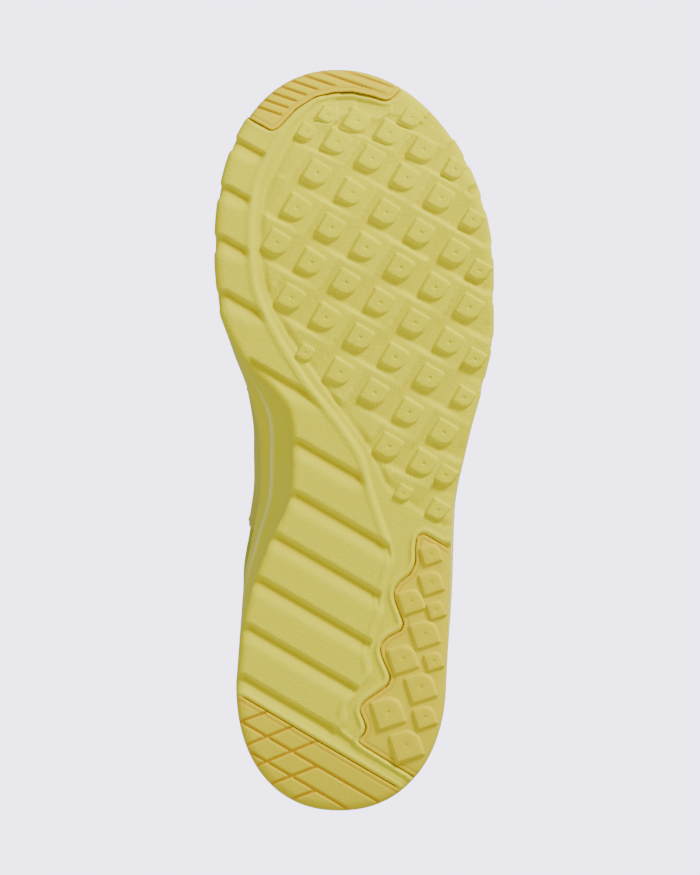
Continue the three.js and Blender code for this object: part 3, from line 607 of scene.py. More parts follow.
@dataclass(frozen=True)
class KnitFinish:
    """Knitted mesh: rows of small loops, with painted shade as dark dots in the open holes between
    them.
    """

    name: str
    colour: Colour
    shade: Colour
    wale: float = 0.0016
    course: float = 0.0013
    loop_depth: float = 0.00022
    hole_shade: float = 0.55
    fuzz: float = 0.25

    def material(self) -> bpy.types.Material:
        """Builds the material."""
        sheet = NodeSheet(self.name)
        surface = sheet.node("ShaderNodeUVMap", uv_map="surface").outputs[0]
        split = sheet.node("ShaderNodeSeparateXYZ", {0: surface})
        wobble = sheet.math("MULTIPLY", sheet.noise(180.0, 2.0, surface), 0.5)
        across = sheet.math("ADD", sheet.math("DIVIDE", split.outputs[0], self.wale), wobble)
        along = sheet.math("ADD", sheet.math("DIVIDE", split.outputs[1], self.course), wobble)
        wave_a = self._wave(sheet, across)
        wave_b = self._wave(sheet, sheet.math("ADD", along, sheet.math("MULTIPLY", wave_a, 0.35)))
        loops = sheet.math("MULTIPLY", sheet.math("POWER", wave_a, 0.6),
                           sheet.math("POWER", wave_b, 0.7))
        fibre = sheet.noise(5200.0, 2.0)
        patches = sheet.ramp(sheet.noise(30.0, 3.0), 0.35, 0.7)
        # Painted shade in the open holes between the loops.
        hole_shade_mask = sheet.math("SUBTRACT", 1.0, sheet.ramp(loops, 0.08, 0.45))
        base = sheet.tint(self.colour, self.shade, patches, 0.25)
        base = sheet.tint(base, self.shade, fibre, self.fuzz)
        base = sheet.tint(base, self.shade, hole_shade_mask, self.hole_shade)
        height = sheet.math("ADD", loops, sheet.math("MULTIPLY", fibre, 0.3))
        return sheet.finished(Base_Color=base, Normal=sheet.bump(height, self.loop_depth),
                              Roughness=0.92, Specular_IOR_Level=0.2, Sheen_Weight=0.35,
                              Sheen_Roughness=0.5, Sheen_Tint=self.colour)

    @staticmethod
    def _wave(sheet: NodeSheet, place: bpy.types.NodeSocket) -> bpy.types.NodeSocket:
        """A row of equal humps, one for each whole number."""
        return sheet.math("ABSOLUTE", sheet.math("SINE", sheet.math("MULTIPLY", place, math.pi)))


@dataclass(frozen=True)
class FilmFinish:
    """Thin welded film or synthetic leather: a soft grain with painted shade in its creases, and a
    slight satin.
    """

    name: str
    colour: Colour
    shade: Colour
    roughness: float = 0.7
    grain: float = 900.0
    grain_depth: float = 0.00005

    def material(self) -> bpy.types.Material:
        """Builds the material."""
        sheet = NodeSheet(self.name)
        place = sheet.place()
        cells = sheet.node("ShaderNodeTexVoronoi", {"Vector": place, "Scale": self.grain},
                           feature="DISTANCE_TO_EDGE").outputs["Distance"]
        crease = sheet.ramp(cells, 0.0, 0.12)
        soft = sheet.noise(60.0, 4.0, place)
        base = sheet.tint(self.colour, self.shade, sheet.ramp(soft, 0.3, 0.75), 0.3)
        # Painted shade along the grain's sunken creases.
        base = sheet.tint(base, self.shade, sheet.math("SUBTRACT", 1.0, crease), 0.3)
        rough = sheet.math("ADD", sheet.math("MULTIPLY", soft, 0.16), self.roughness - 0.08)
        return sheet.finished(Base_Color=base, Roughness=rough, Specular_IOR_Level=0.2,
                              Normal=sheet.bump(crease, self.grain_depth))


@dataclass(frozen=True)
class ThreadFinish:
    """Twisted sewing thread or rib-woven tape."""

    name: str
    colour: Colour
    shade: Colour
    pitch: float = 0.0007

    def material(self) -> bpy.types.Material:
        """Builds the material."""
        sheet = NodeSheet(self.name)
        place = sheet.place()
        ribs = sheet.node("ShaderNodeTexWave", {"Vector": place, "Scale": 0.05 / self.pitch,
                                                "Distortion": 0.6, "Detail": 1.0},
                          bands_direction="DIAGONAL").outputs["Fac"]
        fuzz = sheet.noise(3000.0, 2.0, place)
        base = sheet.tint(self.colour, self.shade, ribs, 0.5)
        base = sheet.tint(base, self.shade, fuzz, 0.25)
        height = sheet.math("ADD", ribs, sheet.math("MULTIPLY", fuzz, 0.4))
        return sheet.finished(Base_Color=base, Normal=sheet.bump(height, 0.0001), Roughness=0.85,
                              Sheen_Weight=0.2)


class Wardrobe:
    """Every finish of the shoe, built once."""

    def __init__(self) -> None:
        """Builds the materials."""
        # Each foam finish: its own colour, the colour of painted shade in recesses, then the colour
        # of painted highlight on proud relief; the midsole's is pale so that its bead paints as a
        # light line.
        self.tread = FoamFinish("tread_foam", (0.82, 0.77, 0.006), (0.66, 0.53, 0.0005),
                                (0.88, 0.84, 0.03), grain_depth=0.00015).material()
        self.rubber = FoamFinish("insert_rubber", (0.80, 0.68, 0.006), (0.76, 0.45, 0.001),
                                 (0.85, 0.76, 0.02), roughness=0.5).material()
        self.midsole = FoamFinish("midsole_foam", (0.78, 0.74, 0.012), (0.6, 0.52, 0.004),
                                  (0.95, 0.93, 0.4), roughness=0.55, grain=1900.0,
                                  grain_depth=0.00004, mottle=0.03).material()
        self.knit = KnitFinish("upper_knit", linear(198, 206, 44), linear(118, 128, 18)).material()
        self.lining = KnitFinish("lining_knit", linear(214, 213, 108), linear(166, 163, 66),
                                 wale=0.0011, course=0.0009, loop_depth=0.0001,
                                 hole_shade=0.3).material()
        self.film = FilmFinish("overlay_film", linear(214, 209, 66),
                               linear(186, 180, 44)).material()
        self.thread = ThreadFinish("stitch_thread", linear(222, 218, 90),
                                   linear(176, 170, 52)).material()
        self.tape = ThreadFinish("binding_tape", linear(206, 203, 62), linear(158, 154, 36),
                                 pitch=0.0012).material()
        self.board = FilmFinish("fibre_board", linear(228, 222, 200), linear(196, 190, 166),
                                roughness=0.9, grain=2200.0).material()


def dress(obj: bpy.types.Object, material: bpy.types.Material) -> None:
    """Gives a piece one material.

    Args:
        obj: The piece.
        material: Its finish.
    """
    obj.data.materials.clear()
    obj.data.materials.append(material)


# ---------------------------------------------------------------------------- plan of the sole


@dataclass
class FootPlan:
    """Outline, curl and heights of the sole, in millimetres, graded from a base pattern."""

    length: float
    width: float
    pattern_length: float = 300.0
    pattern_width: float = 111.4
    toe_spring: float = 14.0
    toe_spring_start: float = -68.0
    heel_bevel: float = 5.0
    heel_bevel_start: float = 104.0
    toe_round: tuple[float, float, float, float] = (-69.0, -150.0, -7.0, 2.1)
    heel_round: tuple[float, float, float, float] = (98.0, 150.0, -6.2, 2.2)
    lateral_top: SmoothCurve = SmoothCurve(((-69, 55.7), (-45, 55.7), (-20, 50.9), (4, 45.2),
                                            (29, 40.9), (60, 39.9), (98, 36.9)))
    lateral_tread: SmoothCurve = SmoothCurve(((-69, 55.7), (-45, 55.7), (-20, 50.9), (4, 44.9),
                                              (29, 39.6), (60, 38.4), (98, 36.9)))
    medial_top: SmoothCurve = SmoothCurve(((-69, 55.7), (-52, 54.1), (-36, 49.5), (-20, 43.5),
                                           (0, 38.8), (16, 38.3), (40, 41.8), (57, 45.1),
                                           (98, 47.6)))
    medial_tread: SmoothCurve = SmoothCurve(((-69, 55.7), (-52, 54.1), (-36, 47.5), (-28, 42.2),
                                             (-19, 33), (-10, 26.8), (0, 25.4), (21, 26.1),
                                             (39, 33.4), (57, 40.7), (75, 45.2), (98, 47.6)))
    centre: SmoothCurve = SmoothCurve(((-150, -7), (-100, -2.4), (-69, 0), (0, -1), (50, -3.5),
                                       (98, -5.4), (150, -6.2)))
    bed_curve: SmoothCurve = SmoothCurve(((-150, 17), (-60, 17.5), (0, 21), (60, 26),
                                          (150, 27.5)))
    rim_curve: SmoothCurve = SmoothCurve(((-150, 33), (-125, 28), (-60, 25.5), (0, 31), (60, 36),
                                          (120, 40), (150, 43)))

    def along(self, y: Array) -> Array:
        """Grades a pattern place along the shoe."""
        return np.asarray(y, float) * self.length / self.pattern_length

    def across(self, x: Array) -> Array:
        """Grades a pattern place across the shoe."""
        return np.asarray(x, float) * self.width / self.pattern_width

    def graded(self, points: Sequence[Sequence[float]]) -> Array:
        """Grades pattern points of the plan."""
        x, y = np.array(points, float).T
        return np.column_stack([self.across(x), self.along(y)])

    def _edge(self, side: Array, y: Array, level: float) -> Array:
        """Signed place of the sole's edge, from the tread (level 0) to the rim (level 1)."""
        lateral = (1 - level) * self.lateral_tread(y) + level * self.lateral_top(y)
        medial = (1 - level) * self.medial_tread(y) + level * self.medial_top(y)
        return np.where(side > 0, lateral, -medial)

    @staticmethod
    def _round_end(share: Array, power: float) -> Array:
        """Quarter of a superellipse: 0 at the tip, 1 where the round end meets the sides."""
        from_side = 1 - np.clip(share, 0, 1)
        return (1 - from_side**power) ** (1 / power)

    def outline(self, turn: Array, level: float) -> Array:
        """Points of the outline.

        Args:
            turn: Places on the way round: 0 toe tip, 0 to 1 lateral, 1 heel tip, 1 to 2 medial.
            level: 0 at the tread and 1 at the rim.

        Returns:
            Rows of x and y.
        """
        side, station = side_of(turn), station_of(turn)
        y = -np.cos(np.pi * station) * self.pattern_length / 2
        x = self._edge(side, y, level)
        start, tip, middle, power = self.toe_round
        share = (y - tip) / (start - tip)
        toe = middle * np.clip(1 - share, 0, None) ** 1.3
        toe = toe + self._edge(side, np.full_like(y, start), level) * self._round_end(share, power)
        x = np.where(y < start, toe, x)
        start, tip, middle, power = self.heel_round
        share = (tip - y) / (tip - start)
        at_start = np.full_like(y, start)
        here = self._edge(side, at_start, level)
        mid = (self._edge(np.ones_like(y), at_start, level)
               + self._edge(-np.ones_like(y), at_start, level)) / 2
        heel = middle + (mid - middle) * share + (here - mid) * self._round_end(share, power)
        x = np.where(y > start, heel, x)
        return np.column_stack([self.across(x), self.along(y)])

    def outward(self, turn: Array, level: float) -> Array:
        """Horizontal directions straight out of the outline."""
        step = 0.004
        turn = np.asarray(turn, float)
        tangent = self.outline(turn + step, level) - self.outline(turn - step, level)
        return unit(np.column_stack([tangent[:, 1], -tangent[:, 0]]))

    def inset(self, turn: Array, level: float, distance: Array) -> Array:
        """Points of the outline moved inwards.

        Args:
            turn: Places on the way round.
            level: 0 at the tread and 1 at the rim.
            distance: How far inwards, one value or one for each place.

        Returns:
            Rows of x and y.
        """
        reach = np.asarray(distance, float).reshape(-1, 1)
        return self.outline(turn, level) - self.outward(turn, level) * reach

    def curl(self, y: Array) -> Array:
        """How far the ground side curls up at the toe and the heel."""
        half = self.pattern_length / 2
        toe = np.clip((self.along(self.toe_spring_start) - y)
                      / self.along(half + self.toe_spring_start), 0, None)
        heel = np.clip((y - self.along(self.heel_bevel_start))
                       / self.along(half - self.heel_bevel_start), 0, None)
        return self.toe_spring * toe**2.1 + self.heel_bevel * heel**2.1

    def bed(self, y: Array) -> Array:
        """Height of the bed that the foot stands on."""
        return self.bed_curve(y * self.pattern_length / self.length) + self.curl(y)

    def rim(self, y: Array) -> Array:
        """Height of the midsole's rim."""
        return self.rim_curve(y * self.pattern_length / self.length) + self.curl(y)

    def turn_of(self, point: Sequence[float]) -> float:
        """The place on the way round that is nearest to a graded point."""
        turns = np.linspace(0, 2, 4001)
        gaps = np.hypot(*(self.outline(turns, 0.0) - np.array(point)).T)
        return float(turns[gaps.argmin()])


# ---------------------------------------------------------------------------- lug lattice


@dataclass
class LugLattice:
    """The turned square lattice that carries the forefoot lugs."""

    plan: FootPlan
    origin: tuple[float, float] = (10.5, -55.2)
    centre: tuple[float, float] = (0.0, -60.0)
    pitch: tuple[float, float] = (16.1, 16.3)
    turn: float = math.radians(30)
    calm_radius: float = 50.0
    crowding: float = 96.0
    waist_share: float = 0.85

    @property
    def axes(self) -> tuple[Array, Array]:
        """Unit directions of the lattice's rows and columns."""
        c, s = math.cos(self.turn), math.sin(self.turn)
        return np.array([c, s]), np.array([-s, c])

    def place(self, i: float, j: float) -> Array:
        """Where a lattice point lies once the rows crowd together towards the toe and waist."""
        a, b = self.axes
        p = self.plan.graded([self.origin])[0] + a * self.pitch[0] * i + b * self.pitch[1] * j
        middle = self.plan.graded([self.centre])[0]
        out = p - middle
        radius = float(np.hypot(*out))
        if p[1] < middle[1] and radius > self.calm_radius:
            p = p - out / radius * (radius - self.calm_radius) ** 2 / self.crowding
        if p[1] > 0:
            p[1] *= self.waist_share
        return p

    def coordinates(self, points: Array) -> tuple[Array, Array]:
        """Lattice coordinates of points of the plan, the crowding undone.

        Args:
            points: Rows of x and y.

        Returns:
            Row and column numbers, as real values.
        """
        p = points.copy()
        p[:, 1] = np.where(p[:, 1] > 0, p[:, 1] / self.waist_share, p[:, 1])
        middle = self.plan.graded([self.centre])[0]
        out = p - middle
        radius = np.maximum(np.hypot(*out.T), 1e-6)
        beyond = np.clip(radius - self.calm_radius, 0, self.crowding / 4 * 0.98)
        half = self.crowding / 2
        undone = half * (1 - np.sqrt(np.clip(1 - 2 * beyond / half, 0, 1)))
        full = np.where((p[:, 1] < middle[1]) & (radius > self.calm_radius),
                        self.calm_radius + undone, radius)
        p = middle + out * (full / radius)[:, None]
        a, b = self.axes
        rel = p - self.plan.graded([self.origin])[0]
        return rel @ a / self.pitch[0], rel @ b / self.pitch[1]


@dataclass(frozen=True)
class LugShape:
    """A D-shaped lug: three crisp corners, one heavily rounded corner, drafted walls, a dimple."""

    size: float = 8.5
    height: float = 2.7
    draft: float = 1.0
    edge: float = 0.55
    sharp: float = 0.09
    round: float = 0.46
    dimple: float = 0.75
    dimple_depth: float = 0.5

    def ring(self, grow: float, count: int = 6) -> Array:
        """One closed outline of the lug, centred, grown by a distance.

        Args:
            grow: Distance that the outline stands outside the top face.
            count: Steps on each corner.

        Returns:
            Rows of x and y.
        """
        h = self.size / 2 + grow
        corners = ((1, 1, self.round), (-1, 1, self.sharp), (-1, -1, self.sharp),
                   (1, -1, self.sharp * 1.6))
        points = []
        for k, (sx, sy, share) in enumerate(corners):
            r = self.size * share + max(grow, 0) * 0.6
            for step in range(count + 1):
                a = math.pi / 2 * (k + step / count)
                points.append((sx * (h - r) + r * math.cos(a), sy * (h - r) + r * math.sin(a)))
        return np.array(points)

    def object(self, name: str) -> bpy.types.Object:
        """Builds the lug, its foot up and its face at z = 0 towards the ground.

        Args:
            name: Name of the object.

        Returns:
            The lug's mesh object.
        """
        levels = [(self.draft + 0.5, self.height + 0.5), (self.draft + 0.35, self.height - 0.15),
                  (self.draft, self.height - 0.6), (self.edge * 0.35, self.edge),
                  (self.edge * 0.05, self.edge * 0.35), (-self.edge * 0.5, 0.06),
                  (-self.edge * 1.5, 0.0)]
        rings = [np.column_stack([self.ring(g), np.full(len(self.ring(g)), z)]) for g, z in levels]
        count = len(rings[0])
        face = rings[-1][:, :2]
        angle = np.arctan2(face[:, 1], face[:, 0])
        for radius, z in ((self.dimple * 1.5, 0.0), (self.dimple, 0.08),
                          (self.dimple * 0.55, self.dimple_depth)):
            rings.append(np.column_stack([radius * np.cos(angle), radius * np.sin(angle),
                                          np.full(count, z)]))
        vertices = np.vstack([*rings, [[0, 0, self.dimple_depth]]])
        faces = grid_faces(len(rings), count, wrap=True)
        last = (len(rings) - 1) * count
        faces += [(last + (j + 1) % count, last + j, len(vertices) - 1) for j in range(count)]
        faces.append(tuple(range(count)))
        obj = mesh_object(name, vertices, faces)
        merge_doubles(obj, 0.005)
        return obj


class Scatter:
    """A Geometry Nodes tree that sets one shape on points, each with its own turn and size."""

    def __init__(self, name: str, shape: bpy.types.Object, material: bpy.types.Material) -> None:
        """Builds the tree.

        Args:
            name: Name of the tree.
            shape: The object that is repeated.
            material: The finish of every copy.
        """
        tree = bpy.data.node_groups.new(name, "GeometryNodeTree")
        face = tree.interface
        face.new_socket("Geometry", in_out="INPUT", socket_type="NodeSocketGeometry")
        self.size_socket = face.new_socket("Size", in_out="INPUT", socket_type="NodeSocketFloat")
        face.new_socket("Geometry", in_out="OUTPUT", socket_type="NodeSocketGeometry")
        new, link = tree.nodes.new, tree.links.new
        source, result = new("NodeGroupInput"), new("NodeGroupOutput")
        info = new("GeometryNodeObjectInfo")
        info.inputs["Object"].default_value = shape
        info.transform_space = "ORIGINAL"
        copies = new("GeometryNodeInstanceOnPoints")
        turn, size = new("GeometryNodeInputNamedAttribute"), new("GeometryNodeInputNamedAttribute")
        turn.data_type, size.data_type = "FLOAT_VECTOR", "FLOAT_VECTOR"
        turn.inputs["Name"].default_value, size.inputs["Name"].default_value = "turn", "size"
        scale = new("ShaderNodeVectorMath")
        scale.operation = "SCALE"
        real, paint = new("GeometryNodeRealizeInstances"), new("GeometryNodeSetMaterial")
        paint.inputs["Material"].default_value = material
        link(source.outputs["Geometry"], copies.inputs["Points"])
        link(info.outputs["Geometry"], copies.inputs["Instance"])
        link(turn.outputs["Attribute"], copies.inputs["Rotation"])
        link(size.outputs["Attribute"], scale.inputs[0])
        link(source.outputs["Size"], scale.inputs["Scale"])
        link(scale.outputs[0], copies.inputs["Scale"])
        link(copies.outputs["Instances"], real.inputs["Geometry"])
        link(real.outputs["Geometry"], paint.inputs["Geometry"])
        link(paint.outputs["Geometry"], result.inputs["Geometry"])
        self.tree, self.material = tree, material

    def over(self, name: str, points: Array, turns: Array, sizes: Array,
             scale: float = 1.0) -> bpy.types.Object:
        """Sets the shape on points and returns the plain mesh.

        Args:
            name: Name of the piece.
            points: Rows of x, y, z in millimetres.
            turns: Euler angles for each point.
            sizes: Scale along each axis for each point.
            scale: One more scale for all.

        Returns:
            The piece as a plain mesh object.
        """
        obj = mesh_object(name, points, [])
        for key, values in (("turn", turns), ("size", sizes)):
            layer = obj.data.attributes.new(key, "FLOAT_VECTOR", "POINT")
            layer.data.foreach_set("vector", np.asarray(values, np.float32).ravel())
        modifier = obj.modifiers.new(name, "NODES")
        modifier.node_group = self.tree
        modifier[self.size_socket.identifier] = float(scale)
        applied(obj)
        dress(obj, self.material)
        obj.data.polygons.foreach_set("use_smooth", np.ones(len(obj.data.polygons), bool))
        return obj


# ---------------------------------------------------------------------------- tread


RIDGE = ((-13, -140), (-26, -128), (-32, -119), (-39.5, -104.5), (-41.6, -89), (-41.6, -76),
         (-40, -61.5), (-36, -51), (-30, -39.5), (-19.3, -22.5), (-6.7, -7), (2.6, 6.3),
         (7.1, 23.7), (13.2, 41))
RIB_ENDS = ((14.8, 48.5), (9.5, 65), (10.7, 70), (8.3, 75), (4.7, 87.5), (5.9, 94.5),
            (2.2, 98.5), (-4.5, 107.5), (-4.3, 113), (-7.5, 117))
HEEL_RAIL = ((2, 124.5), (18.5, 135.5), (34, 143))
FIELD_BORDER = ((-6, -139), (-14, -133), (-25, -123), (-29.6, -114), (-35.8, -101), (-38.6, -88),
                (-38.4, -76), (-36.6, -62), (-32, -50), (-24, -37), (-14.4, -24.1), (-5.1, -10.7),
                (5.5, 3), (12, 17.6), (14.5, 20.5), (24.9, 28.2), (39.1, 37.5), (52, 46))
TOE_SEAM = ((-44.4, -130.9), (-33.2, -124.7), (-30.6, -126.2), (-23.8, -133.7), (-16, -138.7),
            (-8.3, -140.6), (-0.6, -140.8), (7.1, -139.1), (12.6, -137.2),
            (15.2, -138), (18.8, -142.4))
LATERAL_SEAM = ((38.9, 44.5), (33, 41), (27.8, 38), (25.2, 39.2), (24.7, 44), (24.8, 49.8),
                (22.5, 54.5), (18, 57.8), (15.9, 61), (16.4, 64.5), (20.1, 74.2), (18.9, 77.2),
                (13.4, 79.9), (10.4, 83.3), (10.9, 87), (14.8, 95.8), (13.4, 99.4), (4.4, 105.6),
                (2, 108.6), (4.9, 115.8), (4.1, 118.8), (1.2, 121.4), (3.3, 123.2), (19, 132.8),
                (24.4, 136.2))
REAR_SEAM = ((-47.6, 102.4), (18.6, 141.4))


@dataclass
class Tread:
    """The foam tread: ridge, ribs, recessed lug field, pockets and rounded edges."""

    plan: FootPlan
    lattice: LugLattice
    thickness: float = 6.5
    field_depth: float = 2.1
    channel_depth: float = 1.4
    weave_depth: float = 1.85
    rib_pitch: float = 21.5
    rib_start: float = -94.4
    rib_width: float = 7.4
    rib_depth: float = 2.1
    pocket_depth: float = 3.9
    edge_inset: float = 3.2
    lip: float = 0.8
    scallop: float = 0.6
    ridge_rise: float = 0.45
    bead_gap: float = 1.6
    bead_width: float = 0.75
    ribs: int = 11
    narrow_ribs: int = 6
    lug_margin: float = 5.3
    lug_overhang: float = 2.5
    lug_inside: float = 2.2
    lug_spacing: float = 9.8
    lug_plate_gap: float = 6.0
    stations: int = 556
    columns: int = 164

    @cached_property
    def rail_outline(self) -> Array:
        """Closed outline of the raised rail, ribs and heel rail."""
        ridge = rounded_path(self.plan.graded(RIDGE), 1.6, passes=6)
        ends = rounded_path(self.plan.graded(RIDGE[-1:] + RIB_ENDS + HEEL_RAIL), 1.6, passes=1)
        far = self.plan.graded([(34, 170), (-90, 170), (-90, -170), (-13, -170)])
        return np.vstack([ridge, ends[1:], far])

    @cached_property
    def field_outline(self) -> Array:
        """Closed outline of the recessed lug field."""
        border = rounded_path(self.plan.graded(FIELD_BORDER), 1.6, passes=3)
        far = self.plan.graded([(90, 46), (90, -170), (-6, -170)])
        return np.vstack([border, far])

    def seam_loop(self, seam: Sequence[Sequence[float]], step: float = 0.7,
                  clearance: float = 0.0) -> Array:
        """Closed outline of an insert: its seam, then the sole's edge back to the start.

        Args:
            seam: Pattern points from edge to edge.
            step: Distance between samples.
            clearance: How far the sole's edge is kept inside the outline.

        Returns:
            Rows of x and y.
        """
        path = rounded_path(self.plan.graded(seam), step, passes=2)
        start, end = self.plan.turn_of(path[-1]), self.plan.turn_of(path[0])
        if end - start > 1:
            end -= 2
        if start - end > 1:
            start -= 2
        count = max(6, int(abs(end - start) * 300 / step))
        edge = self.plan.inset(np.linspace(start, end, count), 0.0, clearance)
        return np.vstack([path, edge[1:-1]])

    def rib_relief(self, points: Array) -> Array:
        """Depth of the saw-tooth grooves between the ribs, at points of the plan."""
        slope = math.tan(self.lattice.turn)
        x = points[:, 0]
        inside = -signed_distance(points, self.rail_outline)
        depth = np.zeros(len(points))
        for k in range(self.ribs):
            line = self.plan.along(self.rib_start + k * self.rib_pitch) + x * slope
            across = (points[:, 1] - line) * math.cos(self.lattice.turn)
            narrow = k < self.narrow_ribs
            narrowing = smoothstep(0.4, 8.0, inside) if narrow else np.ones_like(x)
            width = self.rib_width * (0.6 + 0.4 * narrowing)
            wall = smoothstep(-0.5, 0.6, across)
            back = smoothstep(1.0, 0.12, np.clip(across, 0, None) / width)
            strength = smoothstep(*((0.9, 3.2) if narrow else (-3.0, -1.0)), inside)
            depth = np.maximum(depth, self.rib_depth * wall * back * strength)
        return depth

    def weave_relief(self, points: Array) -> Array:
        """Depth of the basket-weave ramps between the lugs, at points of the plan."""
        i, j = self.lattice.coordinates(points)
        row, column = np.round(j), np.round(i)
        u, v = i - column, j - row
        odd = np.mod(column - row, 2) > 0.5
        long_step = ((row == -2) & (column >= -1)) | ((row == -3) & (column >= 0) & (column <= 1))
        ramp = np.where(odd | long_step, 0.5 - v, u + 0.5)
        return self.weave_depth * np.clip(ramp, 0, 1) ** 1.4

    def relief(self, points: Array) -> Array:
        """Height of the tread above the ground, before the sole's curl.

        Args:
            points: Rows of x and y in the plan.

        Returns:
            The height for each point.
        """
        rail = signed_distance(points, self.rail_outline)
        field_edge = signed_distance(points, self.field_outline)
        inside_field = smoothstep(0.5, -0.9, field_edge)
        low = self.channel_depth + (self.field_depth - self.channel_depth) * inside_field
        low = low - self.weave_relief(points) * smoothstep(0.0, -3.0, field_edge)
        low = low + 0.35 * inside_field
        wall = smoothstep(0.2, 1.7, rail)
        height = low * wall
        height += self.ridge_rise * smoothstep(-1.5, -2.5, rail) * (rail < 0)
        height += self.rib_relief(points) * (rail < 0.4)
        for seam in (TOE_SEAM, LATERAL_SEAM, REAR_SEAM):
            gap = signed_distance(points, self.seam_loop(seam, 1.2))
            bead = np.exp(-((gap - self.bead_gap) / self.bead_width) ** 2)
            proud = np.clip(height, 0, None) * 0.75
            height = height - proud * bead
            pocket = smoothstep(0.45, -0.2, gap)
            height = height * (1 - pocket) + self.pocket_depth * pocket
        return height

    def build(self, material: bpy.types.Material) -> bpy.types.Object:
        """Builds the tread as one closed mesh.

        Args:
            material: The tread's finish.

        Returns:
            The tread.
        """
        n, m = self.stations, self.columns
        station = np.linspace(0, 1, n + 1)
        lateral = self.plan.inset(station, 0.0, self.edge_inset)
        medial = self.plan.inset(2 - station, 0.0, self.edge_inset)
        share = np.linspace(0, 1, m + 1)[None, :, None]
        flat = (medial[:, None] * (1 - share) + lateral[:, None] * share).reshape(-1, 2)
        height = self.relief(flat).reshape(n + 1, m + 1)
        height = self._softened(height, 1)
        # Painted shade for recessed relief and painted highlight for proud relief, stored for the
        # foam finish.
        hollow = self._painted_shade_of(height)
        inner = np.column_stack([flat, height.ravel() + self.plan.curl(flat[:, 1])])
        turns = np.linspace(0, 2, 2 * n + 1)[:-1]
        rings, ring_painted_shade = [], []
        edge_height = np.concatenate([height[:, -1], height[-2:0:-1, 0]])
        ribbed = np.concatenate([np.zeros(n), (height[::-1, 0] < self.rib_depth * 0.5)[:n]])
        ribbed = ribbed * smoothstep(1.55, 1.65, turns) * smoothstep(1.93, 1.88, turns)
        for _ in range(2):
            ribbed = (np.roll(ribbed, 1) + 2 * ribbed + np.roll(ribbed, -1)) / 4
        rows = self.lattice.coordinates(self.plan.outline(turns, 0.0))[1]
        scallop = smoothstep(0.42, 0.3, np.abs(rows - np.round(rows))) * self.scallop
        scallop = scallop * smoothstep(0.1, 0.14, turns) * smoothstep(0.5, 0.45, turns)
        for inset, rise in ((2.2, 0.15), (1.3, 0.5), (0.6, 1.15), (0.15, 2.1), (0.0, 3.4),
                            (0.0, self.thickness - 0.4), (0.0, self.thickness + 0.3)):
            lip = (self.lip * ribbed + scallop) * (1 - inset / 2.6) * (rise < self.thickness)
            flat_ring = self.plan.inset(turns, 0.0, inset - lip)
            relief = edge_height * max(0.0, 1 - rise / self.thickness)
            z = np.minimum(relief + rise, self.thickness + 0.3) + self.plan.curl(flat_ring[:, 1])
            rings.append(np.column_stack([flat_ring, z]))
            # Edge rings: painted shade where the relief is deep, a slight painted highlight
            # elsewhere.
            ring_painted_shade.append(np.clip(relief / self.rib_depth * 0.4, 0, 1) - 0.1)
        vertices = np.vstack([inner, *rings])
        faces = grid_faces(n + 1, m + 1, flip=True)
        first = [i * (m + 1) + m for i in range(n + 1)]
        first += [i * (m + 1) for i in range(n - 1, 0, -1)]
        count, base = 2 * n, len(inner)
        for a in range(count):
            b = (a + 1) % count
            faces.append((first[a], first[b], base + b, base + a))
        faces += grid_faces(len(rings), count, base, flip=True, wrap=True)
        faces += cap_faces(base + (len(rings) - 1) * count, n)
        obj = mesh_object("tread", vertices, [f for f in faces if len(set(f)) > 2])
        add_values(obj, "hollow", np.concatenate([hollow.ravel(), *ring_painted_shade]))
        merge_doubles(obj, 0.004)
        dress(obj, material)
        return settle(obj, Body.SHOE, "foam_tread", "outsole_tread")

    @staticmethod
    def _softened(height: Array, passes: int) -> Array:
        """Softens a height grid a little along both of its directions."""
        for _ in range(passes):
            padded = np.pad(height, 1, mode="edge")
            height = (padded[:-2] + 2 * padded[1:-1] + padded[2:])[:, 1:-1] / 4
            padded = np.pad(height, 1, mode="edge")
            height = (padded[:, :-2] + 2 * padded[:, 1:-1] + padded[:, 2:])[1:-1] / 4
        return height

    @staticmethod
    def _painted_shade_of(height: Array) -> Array:
        """How far each place lies below (positive) or above (negative) its surroundings, kept as
        painted shade (positive) and painted highlight (negative).
        """
        return (height - Tread._softened(height, 26)) * 0.8

    def lug_places(self) -> list[tuple[Array, float]]:
        """Centres and sizes of the forefoot lugs."""
        places: list[tuple[Array, float]] = []
        turns = np.linspace(0, 2, 481)[:-1]
        edge, outward = self.plan.outline(turns, 0.0), self.plan.outward(turns, 0.0)
        plates = [self.seam_loop(seam, 2.0) for seam in (TOE_SEAM, LATERAL_SEAM)]
        for j in range(4, -7, -1):
            for i in range(-8, 9):
                p = self.lattice.place(i, j)
                gaps = np.hypot(*(edge - p).T)
                nearest = int(gaps.argmin())
                within = bool(inside_polygon(p[None], edge)[0])
                clearance = float(gaps.min()) * (1 if within else -1)
                if clearance < -self.lug_overhang:
                    continue
                if clearance < self.lug_margin:
                    p = edge[nearest] - outward[nearest] * self.lug_margin
                inside = -float(signed_distance(p[None], self.field_outline)[0])
                spacing = min((float(np.hypot(*(p - q))) for q, _ in places), default=99.0)
                off_plates = min(float(signed_distance(p[None], plate)[0]) for plate in plates)
                if (inside < self.lug_inside or spacing < self.lug_spacing
                        or off_plates < self.lug_plate_gap):
                    continue
                share = min(1.0, 0.5 + 0.5 * inside / 7, 0.8 if clearance < 7.5 else 1.0)
                places.append((p, min(share, (spacing - 1.8) / 10)))
        return places

